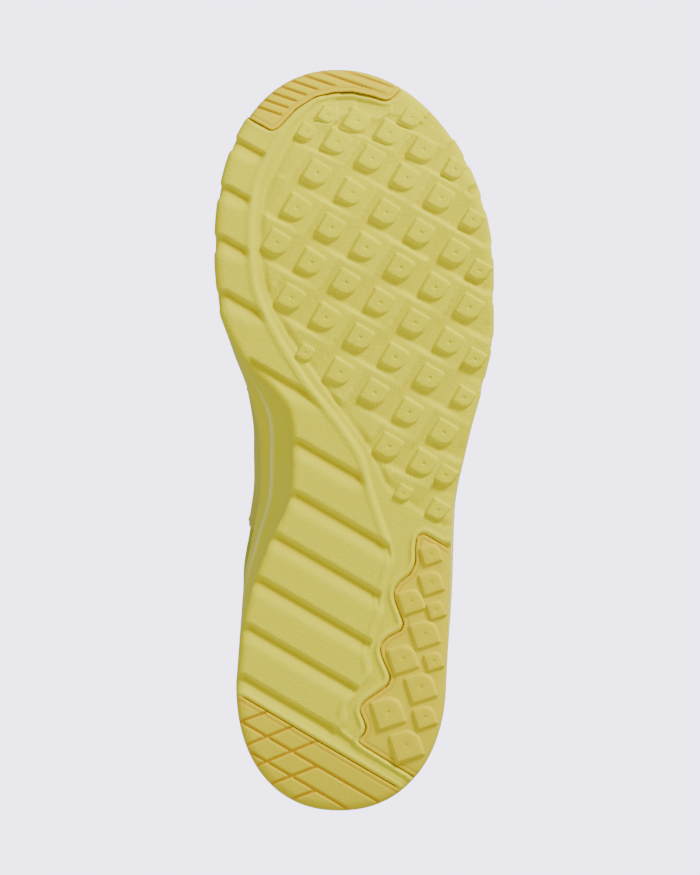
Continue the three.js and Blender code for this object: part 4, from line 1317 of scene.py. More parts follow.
    def lugs(self, material: bpy.types.Material) -> bpy.types.Object:
        """Sets the D-lugs on the field.

        Args:
            material: The tread's finish.

        Returns:
            All forefoot lugs as one piece.
        """
        shape = LugShape().object("lug_shape")
        scatter = Scatter("forefoot_lugs", shape, material)
        places = self.lug_places()
        flat = np.array([p for p, _ in places])
        shares = np.array([s for _, s in places])
        curl = self.plan.curl(flat[:, 1])
        tilt = np.arctan((self.plan.curl(flat[:, 1] + 1) - curl))
        points = np.column_stack([flat, curl])
        turns = np.column_stack([tilt, np.zeros(len(flat)), np.full(len(flat), self.lattice.turn)])
        sizes = np.column_stack([shares, shares, np.ones(len(flat))])
        obj = scatter.over("tread_lugs", points, turns, sizes)
        bpy.data.objects.remove(shape)
        # A faint painted highlight on every lug.
        add_values(obj, "hollow", np.full(len(obj.data.vertices), -0.06))
        return settle(obj, Body.SHOE, "foam_tread")


# ---------------------------------------------------------------------------- rubber inserts


@dataclass
class RubberInsert:
    """A rubber plate let into the tread: its outline, face relief and rounded edge."""

    name: str
    node: str
    tread: Tread
    seam: tuple[tuple[float, float], ...]
    face: float
    relief: Callable[[Array], Array]
    depth: float = 3.7
    step: float = 0.5
    seam_gap: float = 0.06

    def build(self, material: bpy.types.Material) -> bpy.types.Object:
        """Builds the insert as a closed mesh.

        Args:
            material: The rubber finish.

        Returns:
            The insert.
        """
        plan = self.tread.plan
        loop = self.tread.seam_loop(self.seam, self.step)
        count = len(loop)
        low, high = loop.min(0), loop.max(0)
        xs, ys = np.arange(low[0], high[0], self.step), np.arange(low[1], high[1], self.step)
        grid = np.array(np.meshgrid(xs, ys)).reshape(2, -1).T
        grid[:, 0] += (np.round(grid[:, 1] / self.step) % 2) * self.step / 2
        grid = grid[signed_distance(grid, loop) < -self.step * 0.6]
        everything = np.vstack([loop, grid])
        edges = [(i, (i + 1) % count) for i in range(count)]
        found = delaunay_2d_cdt([Vector(p) for p in everything], edges, [], 1, 1e-6)
        flat = np.array([tuple(v) for v in found[0]])
        triangles = [tuple(f) for f in found[2]]
        seam_path = rounded_path(plan.graded(self.seam), self.step, passes=3)
        to_seam = distance_to_path(flat, seam_path)
        edge = plan.outline(np.linspace(0, 2, 1201)[:-1], 0.0)
        to_edge = distance_to_path(flat, edge, closed=True)
        height = self.face + self.relief(flat)
        height += 0.2 * smoothstep(0.6, 0.0, to_seam) + 0.3 * np.exp(-((to_seam - 1.7) / 0.35) ** 2)
        round_edge = SmoothCurve(((0, 2.6), (0.15, 2.0), (0.6, 1.1), (1.3, 0.5), (3.2, 0.0)))
        height = np.minimum(height + round_edge(to_edge), self.depth - 0.3)
        # Painted shade in the grooves, along the recessed edge at the seam and in the shallow
        # groove just inside it.
        hollow = np.clip(self.relief(flat) * 1.5, 0, 1.2) + smoothstep(0.6, 0.0, to_seam) * 1.2
        hollow = hollow + np.exp(-((to_seam - 1.7) / 0.3) ** 2)
        shrunk = flat.copy()
        near = to_seam < self.step * 0.5
        inward = flat.mean(0) - flat
        inward /= np.maximum(np.hypot(*inward.T), 1e-6)[:, None]
        shrunk[near] += inward[near] * self.seam_gap
        curl = plan.curl(flat[:, 1])
        lower = np.column_stack([shrunk, height + curl])
        upper = np.column_stack([shrunk, np.full(len(flat), self.depth) + curl])
        faces = [tuple(reversed(self._upwards(t, flat))) for t in triangles]
        shift = len(flat)
        faces += [tuple(i + shift for i in self._upwards(t, flat)) for t in triangles]
        ring = self._boundary(triangles, flat)
        faces += [(a, b, b + shift, a + shift) for a, b in ring]
        obj = mesh_object(self.name, np.vstack([lower, upper]), faces)
        add_values(obj, "hollow", np.concatenate([hollow, np.zeros(len(flat))]))
        merge_doubles(obj, 0.001)
        dress(obj, material)
        return settle(obj, Body.SHOE, "rubber_insert", self.node)

    @staticmethod
    def _upwards(triangle: Sequence[int], flat: Array) -> tuple[int, ...]:
        """A triangle's corners in the order that faces up."""
        a, b, c = (flat[i] for i in triangle)
        turn = (b[0] - a[0]) * (c[1] - a[1]) - (b[1] - a[1]) * (c[0] - a[0])
        return tuple(triangle) if turn > 0 else tuple(reversed(triangle))

    @staticmethod
    def _boundary(triangles: Sequence[Sequence[int]], flat: Array) -> list[tuple[int, int]]:
        """Edges that belong to one triangle only, in the order that faces up."""
        seen: dict[tuple[int, int], int] = {}
        for triangle in triangles:
            t = RubberInsert._upwards(triangle, flat)
            for a, b in zip(t, t[1:] + t[:1]):
                seen[(a, b)] = seen.get((a, b), 0) + 1
        return [(a, b) for a, b in seen if (b, a) not in seen]


def groove_depth(points: Array, start: Sequence[float], end: Sequence[float], width: float,
                 depth: float) -> Array:
    """Depth of a straight V-shaped groove at points of the plan.

    Args:
        points: Rows of x and y.
        start: One end of the groove.
        end: Its other end.
        width: Width at the surface.
        depth: Depth in the middle.

    Returns:
        The depth for each point.
    """
    gap = distance_to_path(points, np.array([start, end], float))
    return depth * smoothstep(width / 2, width * 0.12, gap)


@dataclass
class InsertSet:
    """The three rubber inserts and the lugs on the lateral one."""

    plan: FootPlan
    tread: Tread
    groove_width: float = 1.5
    groove_depth: float = 1.0
    toe_groove_start: float = -120.7
    toe_groove_pitch: float = 3.9
    toe_groove_count: int = 10
    heel_lugs: tuple[tuple[float, float, float], ...] = (
        (30.8, 46.2, 0.66), (31.0, 57.7, 0.76), (22.9, 65.2, 0.8), (32.9, 68.6, 0.58),
        (28.4, 78.4, 0.9), (19.6, 88.4, 0.92), (32.0, 89.2, 0.6), (26.8, 99.9, 0.95),
        (13.6, 110.0, 1.02), (28.4, 111.8, 0.72), (20.9, 123.2, 1.02))

    def toe_grooves(self, points: Array) -> Array:
        """Slanted parallel grooves of the toe insert, with a plain border along its seam."""
        depth = np.zeros(len(points))
        for k in range(self.toe_groove_count):
            y = self.toe_groove_start - self.toe_groove_pitch * k
            start, end = self.plan.graded([(-60, y - 21), (40, y + 14)])
            depth = np.maximum(depth, groove_depth(points, start, end, self.groove_width,
                                                   self.groove_depth))
        seam = rounded_path(self.plan.graded(TOE_SEAM), 0.8, passes=3)
        return depth * smoothstep(2.0, 2.9, distance_to_path(points, seam))

    @staticmethod
    def no_grooves(points: Array) -> Array:
        """The lateral insert's face, which carries lugs and no grooves."""
        return np.zeros(len(points))

    def rear_grooves(self, points: Array) -> Array:
        """Two long grooves and five crossing ones under the back of the heel."""
        lines = [((-60, 105.3), (26, 155.8)), ((-60, 115.4), (20, 162.5)),
                 ((-48, 114.5), (-35.9, 110.1)), ((-46, 124.2), (-25.7, 116)),
                 ((-43, 133), (-15.6, 121.8)), ((-36, 139.9), (-15.6, 132)),
                 ((-28, 146.1), (-16, 141.7))]
        depth = np.zeros(len(points))
        for a, b in lines:
            start, end = self.plan.graded([a, b])
            depth = np.maximum(depth, groove_depth(points, start, end, self.groove_width,
                                                   self.groove_depth))
        return depth

    def build(self, material: bpy.types.Material) -> list[bpy.types.Object]:
        """Builds the inserts.

        Args:
            material: The rubber finish.

        Returns:
            The three plates and the lateral lugs.
        """
        plates = [RubberInsert("toe_insert", "toe_rubber", self.tread, TOE_SEAM, 0.1,
                               self.toe_grooves),
                  RubberInsert("heel_lateral_insert", "heel_lateral_rubber", self.tread,
                               LATERAL_SEAM, 1.3, self.no_grooves),
                  RubberInsert("heel_rear_insert", "heel_rear_rubber", self.tread, REAR_SEAM, 0.1,
                               self.rear_grooves)]
        made = [plate.build(material) for plate in plates]
        shape = LugShape(size=10.4, height=1.25, draft=0.6, edge=0.4, sharp=0.05, round=0.5,
                         dimple=0.7, dimple_depth=0.35).object("heel_lug_shape")
        scatter = Scatter("heel_lugs", shape, material)
        x, y, shares = np.array(self.heel_lugs).T
        flat_places = np.column_stack([self.plan.across(x), self.plan.along(y)])
        points = np.column_stack([flat_places, self.plan.curl(flat_places[:, 1])])
        count = len(points)
        turns = np.column_stack([np.zeros(count), np.zeros(count),
                                 np.full(count, -math.pi / 2 - self.tread.lattice.turn * 0.6)])
        sizes = np.column_stack([shares, shares, np.ones(count)])
        lugs = scatter.over("heel_lateral_lugs", points, turns, sizes)
        bpy.data.objects.remove(shape)
        # A faint painted highlight on every heel lug.
        add_values(lugs, "hollow", np.full(len(lugs.data.vertices), -0.05))
        settle(lugs, Body.SHOE, "rubber_insert")
        return [*made, lugs]


# ---------------------------------------------------------------------------- midsole


@dataclass
class Midsole:
    """The foam cup: flaring walls, a bead under the arch, a rolled rim and a sunk bed."""

    plan: FootPlan
    base: float = 6.6
    rim_thickness: float = 3.2
    stations: int = 260
    line_shares: tuple[float, float] = (0.72, 0.3)
    line_depths: tuple[float, float] = (0.55, 0.45)
    line_width: float = 0.022
    bead_height: float = 1.1
    bead_width: float = 0.024
    bead_span: tuple[float, float] = (0.43, 0.66)

    def profile(self) -> list[tuple[float, float, float]]:
        """Rings from the tread up and over the rim: level, inset, share of the wall's height."""
        rings = []
        for share in np.linspace(0, 1, 56):
            level = float(smoothstep(0.0, 0.86, share))
            belly = -0.9 * math.sin(math.pi * share) * (1 - share)
            rings.append((level, belly + 0.15, float(share) * 0.93))
        rings += [(1.0, 0.3, 0.955), (1.0, 0.75, 0.98), (1.0, 1.3, 1.0), (1.0, 2.1, 1.0),
                  (1.0, 2.8, 0.985), (1.0, self.rim_thickness, 0.95)]
        return rings

    def build(self, material: bpy.types.Material) -> bpy.types.Object:
        """Builds the midsole as one closed mesh.

        Args:
            material: The midsole's finish.

        Returns:
            The midsole.
        """
        count = 2 * self.stations
        turns = np.linspace(0, 2, count + 1)[:-1]
        rings, hollow = [], []
        for level, inset, share in self.profile():
            bead = self._bead(turns, share)
            channel = self._channel(turns, share)
            flat = self.plan.inset(turns, level, inset - bead + channel)
            low = self.base + self.plan.curl(flat[:, 1])
            z = low + (self.plan.rim(flat[:, 1]) - low) * share
            rings.append(np.column_stack([flat, z]))
            # Painted shade in the moulded lines and painted highlight on the arch bead.
            hollow.append(channel * 0.8 - bead * 0.8)
        flat = self.plan.inset(turns, 1.0, self.rim_thickness)
        rings.append(np.column_stack([flat, self.plan.bed(flat[:, 1])]))
        hollow.append(np.zeros(count))
        vertices = np.vstack(rings)
        faces = grid_faces(len(rings), count, flip=True, wrap=True)
        faces += cap_faces((len(rings) - 1) * count, self.stations, underside=True)
        obj = mesh_object("midsole_cup", vertices, [f for f in faces if len(set(f)) > 2])
        add_values(obj, "hollow", np.concatenate(hollow))
        merge_doubles(obj, 0.01)
        dress(obj, material)
        return settle(obj, Body.SHOE, "foam_midsole", "midsole")

    def _channel(self, turns: Array, share: float) -> Array:
        """Depth of two fine moulded lines that run round the wall."""
        drift = 0.05 * np.sin(turns * math.pi * 2)
        upper, lower = (depth * np.exp(-((share - place - drift) / self.line_width) ** 2)
                        for place, depth in zip(self.line_shares, self.line_depths))
        arch = smoothstep(1.28, 1.36, turns) * smoothstep(1.66, 1.58, turns)
        return upper + lower * (1 - arch)

    def _bead(self, turns: Array, share: float) -> Array:
        """Height of the fine raised bead that runs along the arch wall."""
        station = station_of(turns)
        first, last = self.bead_span
        along = smoothstep(first, first + 0.05, station) * smoothstep(last, last - 0.06, station)
        place = 0.34 + 0.1 * np.sin(np.clip((station - first) / (last - first), 0, 1) * math.pi)
        bead = self.bead_height * along * np.exp(-((share - place) / self.bead_width) ** 2)
        return np.where(turns > 1, bead, 0.0)


# ---------------------------------------------------------------------------- foot form


@dataclass
class FootForm:
    """The surface that the upper's layers follow, from the board's edge to the top line."""

    plan: FootPlan
    throat: float = 10 / 26
    straight: float = 0.2
    stands_straight: float = 2.5
    inset: float = 8.5
    rim_thickness: float = 3.2
    half_width: SmoothCurve = SmoothCurve(((10 / 26, 0), (0.4, 8), (0.45, 12), (0.5, 15),
                                           (0.56, 19.5), (0.62, 25), (0.7, 30), (0.8, 26.5),
                                           (0.9, 17.5), (0.96, 8), (1, 0)))
    top_along: SmoothCurve = SmoothCurve(((0, -108), (0.2, -95), (0.3, -76), (10 / 26, -53),
                                          (0.4, -48.5), (0.45, -26), (0.5, -2), (0.56, 24),
                                          (0.62, 43), (0.7, 76), (0.8, 110), (0.9, 131),
                                          (0.96, 136.5), (1, 138)))
    top_height: SmoothCurve = SmoothCurve(((0, 62), (0.2, 65), (0.3, 69), (10 / 26, 75),
                                           (0.45, 82), (0.5, 91), (0.56, 100), (0.62, 100),
                                           (0.7, 86), (0.8, 88), (0.9, 101), (1, 108)))
    top_reach: SmoothCurve = SmoothCurve(((0, 18), (0.2, 24), (0.3, 28), (10 / 26, 28),
                                          (0.45, 21), (0.5, 17), (0.56, 11), (0.62, 5), (0.7, 2),
                                          (0.9, 3), (1, 3.5)))
    top_drop: SmoothCurve = SmoothCurve(((0, 0), (10 / 26, 1), (0.45, 7), (0.5, 12), (0.56, 17),
                                         (0.62, 20), (0.7, 20), (1, 28)))
    lateral_bulge: SmoothCurve = SmoothCurve(((0, 5), (0.3, 7), (0.5, 7.5), (0.7, 7), (1, 6)))
    medial_bulge: SmoothCurve = SmoothCurve(((0, 5), (0.3, 7), (0.45, 11), (0.52, 15),
                                             (0.6, 15), (0.7, 9), (1, 6)))

    def points(self, turn: Array, rise: Array) -> Array:
        """Points of the foot form.

        Args:
            turn: Places on the way round.
            rise: Shares of the way up, 0 at the board and 1 on the top line.

        Returns:
            Rows of x, y and z.
        """
        turn, rise = np.broadcast_arrays(np.asarray(turn, float), np.asarray(rise, float))
        shape = turn.shape
        turn, rise = turn.ravel(), rise.ravel()
        side, station = side_of(turn), station_of(turn)
        foot = self.plan.inset(turn, 1.0, self.inset)
        low = self.plan.bed(self.plan.inset(turn, 1.0, self.rim_thickness)[:, 1]) + 0.3
        knee = self.plan.rim(foot[:, 1]) + self.stands_straight
        out = self.plan.outward(turn, 1.0)
        bulge = np.where(side > 0, self.lateral_bulge(station), self.medial_bulge(station))
        y = self.top_along(station)
        half = np.where(station <= self.throat + 1e-9, 0.0, self.half_width(station))
        end = np.column_stack([self.plan.across(self.plan.centre(y) + side * half),
                               self.plan.along(y), self.top_height(station)])
        start = np.column_stack([foot, knee])
        first = start + np.column_stack([out * bulge[:, None], (end[:, 2] - knee) * 0.5])
        second = end + np.column_stack([out * self.top_reach(station)[:, None],
                                        -self.top_drop(station)])
        t = np.clip((rise - self.straight) / (1 - self.straight), 0, 1)[:, None]
        curve = ((1 - t) ** 3 * start + 3 * (1 - t) ** 2 * t * first
                 + 3 * (1 - t) * t**2 * second + t**3 * end)
        share = np.clip(rise / self.straight, 0, 1)
        stand = np.column_stack([foot, low + (knee - low) * share])
        found = np.where((rise < self.straight)[:, None], stand, curve)
        return found.reshape(*shape, 3)

    def normals(self, turn: Array, rise: Array) -> Array:
        """Directions straight out of the foot form.

        Args:
            turn: Places on the way round.
            rise: Shares of the way up.

        Returns:
            Unit vectors, one for each place.
        """
        turn, rise = np.broadcast_arrays(np.asarray(turn, float), np.asarray(rise, float))
        own = self._own_normals(turn, rise)
        blend = smoothstep(0.86, 1.0, rise) * (station_of(turn) <= self.throat + 1e-9)
        other = self._own_normals(-turn, np.ones_like(rise))
        top = unit(self._own_normals(turn, np.ones_like(rise)) + other)
        return unit(own * (1 - blend[..., None]) + top * blend[..., None])

    def _own_normals(self, turn: Array, rise: Array) -> Array:
        """Normals of one side's surface on its own."""
        step = 0.006
        up = (self.points(turn, np.minimum(rise + step, 1))
              - self.points(turn, np.maximum(rise - step, 0)))
        inner = np.minimum(rise, 0.995)
        around = self.points(turn + step, inner) - self.points(turn - step, inner)
        normal = unit(np.cross(around, up))
        out = self.plan.outward(turn.ravel(), 1.0).reshape(*turn.shape, 2)
        facing = np.einsum("...i,...i->...", normal[..., :2], out) + 0.3 * normal[..., 2]
        return np.where(facing[..., None] < 0, -normal, normal)

    def offset(self, turn: Array, rise: Array, distance: Array) -> Array:
        """Points at a distance outside (positive) or inside the foot form."""
        reach = np.asarray(distance, float)
        reach = reach[..., None] if reach.ndim else reach
        return self.points(turn, rise) + self.normals(turn, rise) * reach


# ---------------------------------------------------------------------------- upper


EdgeRule = Callable[[Array], tuple[Array, Array]]


@dataclass
class Panel:
    """One panel of the upper: a thin sheet on the foot form with soft edges."""

    name: str
    nodes: tuple[str, ...]
    start: float
    end: float
    edges: EdgeRule
    inner: float
    outer: float
    slot: str
    material: bpy.types.Material
    columns: int = 160
    rows: int = 70
    edge_round: float = 0.5
    welded_ridge: bool = False
    swell: Callable[[Array, Array], Array] | None = None

    def grids(self, form: FootForm) -> tuple[Array, Array]:
        """Outer and inner grids of the panel."""
        turn = np.linspace(self.start, self.end, self.columns)
        low, high = self.edges(turn)
        share = np.linspace(0, 1, self.rows)[None, :]
        rise = low[:, None] + (high - low)[:, None] * share
        turn = np.broadcast_to(turn[:, None], rise.shape)
        middle = (self.inner + self.outer) / 2
        half = (self.outer - self.inner) / 2
        i = np.arange(self.columns)[:, None] / (self.columns - 1)
        ends = np.minimum(i, 1 - i) * self.columns
        rims = share * self.rows if self.welded_ridge else np.minimum(share, 1 - share) * self.rows
        near = np.minimum(ends, rims + 0 * ends)
        soft = 1 - self.edge_round * (1 - smoothstep(0.0, 2.0, near))
        extra = self.swell(turn, rise) if self.swell else 0.0
        outer = form.offset(turn, rise, middle + half * soft + extra)
        inner = form.offset(turn, rise, np.full(rise.shape, middle) - half * soft)
        if self.welded_ridge:
            end = form.points(np.array([0.0]), np.array([1.0]))[0]
            return self._eased(outer, end), self._eased(inner, end)
        return outer, inner

    def build(self, form: FootForm) -> bpy.types.Object:
        """Builds the panel.

        Args:
            form: The surface that it follows.

        Returns:
            The panel.
        """
        outer, inner = self.grids(form)
        obj = sheet_object(self.name, outer, inner)
        if self.welded_ridge:
            self._drop_ridge_walls(obj)
        merge_doubles(obj, 0.015)
        dress(obj, self.material)
        return settle(obj, Body.SHOE, self.slot, *self.nodes)

    @staticmethod
    def _eased(grid: Array, end: Array, reach: float = 20.0) -> Array:
        """Swaps the pinch where the toe box's ridge runs out for a gently curved cap.

        Args:
            grid: Points of one face of the panel.
            end: The ridge's front end.
            reach: Radius of the cap.

        Returns:
            The points, their heights eased near the end.
        """
        x, y = np.moveaxis(grid[..., :2] - end[:2], -1, 0)
        far = np.hypot(x, y)
        terms = np.stack([np.ones_like(x), x, y, x * x, x * y, y * y], axis=-1)
        ring = (far > reach * 0.6) & (far < reach * 1.3)
        fit = np.linalg.lstsq(terms[ring], grid[ring][:, 2], rcond=None)[0]
        out = grid.copy()
        out[..., 2] += (terms @ fit - grid[..., 2]) * smoothstep(reach, reach * 0.5, far)
        return out

    def _drop_ridge_walls(self, obj: bpy.types.Object) -> None:
        """Removes the rim along the ridge, where the two sides of the toe box join."""
        top = {i * self.rows + self.rows - 1 for i in range(self.columns)}
        both = top | {i + self.columns * self.rows for i in top}
        with edited(obj.data) as work:
            walls = [f for f in work.faces if all(v.index in both for v in f.verts)]
            bmesh.ops.delete(work, geom=walls, context="FACES_ONLY")


def whole(turn: Array) -> tuple[Array, Array]:
    """Edges of a panel that runs from the board to the top line."""
    return np.zeros_like(turn), np.ones_like(turn)


@dataclass
class Upper:
    """All panels of the upper, with its seams, eyelets and stitches."""

    form: FootForm
    wardrobe: Wardrobe
    lining: float = 0.9
    shell: tuple[float, float] = (2.5, 3.7)
    film: tuple[float, float] = (3.85, 4.75)
    eyestay_end: float = 15 / 26
    eyelets: int = 6
    eyelet_radius: float = 2.4
    stitch_length: float = 2.3
    stitch_pitch: float = 3.2

    def panels(self) -> list[Panel]:
        """Every panel, from the inside out."""
        t, w = self.form.throat, self.wardrobe
        shell, film = self.shell, self.film
        made = [
            Panel("toe_lining", ("vamp_lining",), -t, t, whole, 0.0, self.lining, "lining",
                  w.lining, columns=90, rows=40, welded_ridge=True),
            Panel("heel_lining", ("quarter_lining",), t + 0.001, 2 - t - 0.001, whole, 0.0,
                  self.lining, "lining", w.lining, columns=220, rows=50),
            Panel("toe_box", ("vamp",), -t, t, whole, *shell, "upper_mesh", w.knit, columns=200,
                  rows=90, welded_ridge=True),
            Panel("toe_bumper", ("toe_overlay",), -0.3, 0.3,
                  lambda a: (np.full_like(a, 0.05), 0.5 - 2.4 * a**2), *film, "overlay", w.film,
                  columns=150, rows=30),
            Panel("heel_cup", ("heel_overlay",), 0.79, 1.21,
                  lambda a: (np.full_like(a, 0.05), 0.76 - 8.5 * (a - 1) ** 2), *film, "overlay",
                  w.film, columns=120, rows=44),
        ]
        for side, label in ((Side.LATERAL, "lateral"), (Side.MEDIAL, "medial")):
            spans = {"quarter": (t + 0.001, 0.9985), "eyestay": (t + 0.001, self.eyestay_end),
                     "saddle": (0.45, 0.58)}
            ends = {key: sorted((side.turn(a), side.turn(b))) for key, (a, b) in spans.items()}
            made.append(Panel(f"{label}_quarter", (f"quarter_{label}",), *ends["quarter"], whole,
                              *shell, "upper_mesh", w.knit, columns=220, rows=80))
            made.append(Panel(f"{label}_eyestay", (f"eyestay_{label}",), *ends["eyestay"],
                              lambda a: (np.full_like(a, 0.78), np.ones_like(a)), *film,
                              "overlay", w.film, columns=110, rows=24))
            made.append(Panel(f"{label}_saddle", (f"saddle_{label}",), *ends["saddle"],
                              lambda a: (np.full_like(a, 0.05), np.full_like(a, 0.765)), *film,
                              "overlay", w.film, columns=60, rows=70))
        return made

    def eyelet_places(self) -> list[tuple[float, float]]:
        """Turn and rise of every eyelet."""
        stations = np.linspace(0.405, self.eyestay_end - 0.02, self.eyelets)
        return [(side.turn(float(s)), 0.89) for side in Side for s in stations]

    def eyelet_cutter(self) -> bpy.types.Object:
        """Round bars that cut the eyelets through every layer."""
        mesh, radius = bpy.data.meshes.new("eyelet_cutter"), self.eyelet_radius * MM
        with edited(mesh) as work:
            for turn, rise in self.eyelet_places():
                normal = Vector(self.form.normals(np.array([turn]), np.array([rise]))[0])
                place = Vector(self.form.points(np.array([turn]), np.array([rise]))[0]) * MM
                turned = normal.to_track_quat("Z", "Y").to_matrix().to_4x4()
                bmesh.ops.create_cone(work, cap_ends=True, segments=28, radius1=radius,
                                      radius2=radius, depth=24 * MM,
                                      matrix=Matrix.Translation(place) @ turned)
        return placed("eyelet_cutter", mesh)

    def build(self) -> None:
        """Builds the panels, punches the eyelets and sews the seams."""
        made = {panel.name: panel.build(self.form) for panel in self.panels()}
        cutter = self.eyelet_cutter()
        for name in ("heel_lining", "lateral_quarter", "medial_quarter", "lateral_eyestay",
                     "medial_eyestay"):
            obj = made[name]
            modifier = obj.modifiers.new("eyelets", "BOOLEAN")
            modifier.operation, modifier.solver, modifier.object = "DIFFERENCE", "EXACT", cutter
            applied(obj)
        bpy.data.objects.remove(cutter)
        self.stitches()

    def stitch_lines(self) -> list[Array]:
        """Seam lines as points just outside the surface, in millimetres."""
        lines = []
        film = self.film[1] + 0.05
        for side in Side:
            s = np.linspace(self.form.throat + 0.006, self.eyestay_end - 0.004, 120)
            turn = np.array([side.turn(a) for a in s])
            for rise in (0.805, 0.975):
                lines.append(self.form.offset(turn, np.full_like(turn, rise), film))
            s = np.linspace(0.455, 0.575, 60)
            turn = np.array([side.turn(a) for a in s])
            lines.append(self.form.offset(turn, np.full_like(turn, 0.75), film))
            for edge in (0.4545, 0.5755):
                rise = np.linspace(0.26, 0.745, 60)
                lines.append(self.form.offset(np.full_like(rise, side.turn(edge)), rise, film))
        turn = np.linspace(-0.295, 0.295, 160)
        for margin in (0.03, 0.055):
            lines.append(self.form.offset(turn, 0.5 - 2.4 * turn**2 - margin, film))
        turn = np.linspace(0.8, 1.2, 120)
        lines.append(self.form.offset(turn, 0.735 - 8.5 * (turn - 1) ** 2, film))
        return lines

    def stitches(self) -> bpy.types.Object:
        """Sews a row of stitches along every seam line."""
        points, turns = [], []
        for line in self.stitch_lines():
            reach = travelled(line)
            for place in np.arange(self.stitch_pitch, reach[-1] - 1, self.stitch_pitch):
                p = [np.interp(place, reach, line[:, k]) for k in range(3)]
                q = [np.interp(place + 0.6, reach, line[:, k]) for k in range(3)]
                direction = Vector(q) - Vector(p)
                points.append(p)
                turns.append(tuple(direction.to_track_quat("X", "Z").to_euler()))
        shape = self._stitch_shape()
        scatter = Scatter("stitches", shape, self.wardrobe.thread)
        obj = scatter.over("stitching", np.array(points), np.array(turns),
                           np.ones((len(points), 3)))
        bpy.data.objects.remove(shape)
        return settle(obj, Body.SHOE, "overlay")

    def _stitch_shape(self) -> bpy.types.Object:
        """One stitch: a short thread that dips at both ends."""
        rings = []
        for share in np.linspace(-1, 1, 6):
            x = share * self.stitch_length / 2
            lift = 0.12 - 0.35 * share**4
            radius = 0.3 * math.sqrt(max(0.12, 1 - share**6))
            ring = [(x, radius * math.cos(a), lift + radius * 0.8 * math.sin(a))
                    for a in np.linspace(0, 2 * math.pi, 7)[:-1]]
            rings.append(ring)
        vertices = np.array(rings).reshape(-1, 3)
        faces = grid_faces(6, 6, wrap=True)
        faces += [tuple(range(6)), tuple(range(35, 29, -1))]
        obj = mesh_object("stitch_shape", vertices, faces)
        merge_doubles(obj, 0.001)
        return obj


# ---------------------------------------------------------------------------- collar and tongue


@dataclass
class Collar:
    """The padded collar: a foam roll covered with lining that turns over the top line."""

    form: FootForm
    wardrobe: Wardrobe
    start: float = 0.605
    thickness: float = 6.4
    outer: float = 3.7
    roll: float = 3.6
    columns: int = 260

    def build(self) -> bpy.types.Object:
        """Builds the collar as one closed padded piece."""
        turn = np.linspace(self.start, 2 - self.start, self.columns)
        fade = smoothstep(self.start - 0.002, self.start + 0.06, station_of(turn))
        section = []
        top = self.form.points(turn, np.ones_like(turn))
        out = self.form.normals(turn, np.ones_like(turn))
        out[:, 2] = 0
        out = unit(out)
        thick = self.thickness * (0.3 + 0.7 * fade)
        middle = (self.outer - thick) / 2
        radius = (self.outer + thick) / 2
        inside = []
        for rise, share in ((0.46, 0.12), (0.5, 0.55), (0.56, 0.86), (0.64, 1.0), (0.72, 1.04),
                            (0.8, 1.02), (0.88, 0.98), (0.95, 0.98)):
            inside.append(self.form.offset(turn, np.full_like(turn, rise), -thick * share - 0.05))
        for angle in np.linspace(math.pi, 0, 15):
            reach = middle + radius * math.cos(angle)
            lift = 0.2 + (self.roll * (0.6 + 0.4 * fade)) * math.sin(angle) ** 0.8
            section.append(top + out * np.reshape(reach, (-1, 1))
                           + np.array([0, 0, 1.0]) * np.reshape(lift, (-1, 1)))
        outside = [self.form.offset(turn, np.full_like(turn, rise), self.outer - 0.35 + gap)
                   for rise, gap in ((0.985, 0.45), (0.965, 0.3))]
        back = [self.form.offset(turn, np.full_like(turn, rise), 0.0) for rise in
                (0.965, 0.9, 0.75, 0.6, 0.46)]
        rings = np.stack([*inside, *section, *outside, *back], axis=1)
        columns, count = rings.shape[:2]
        faces = grid_faces(columns, count, wrap=True)
        faces.append(tuple(range(count)))
        faces.append(tuple(range(columns * count - 1, (columns - 1) * count - 1, -1)))
        obj = mesh_object("collar_pad", rings.reshape(-1, 3), faces)
        along = travelled(top)
        around = np.linspace(0, 0.06, count)
        grid = np.stack(np.broadcast_arrays(along[:, None] * MM, around[None, :]), axis=2)
        add_plane_map(obj, grid.reshape(-1, 2))
        merge_doubles(obj, 0.01)
        dress(obj, self.wardrobe.lining)
        return settle(obj, Body.SHOE, "lining", "collar_foam", "collar_lining", "collar_binding")


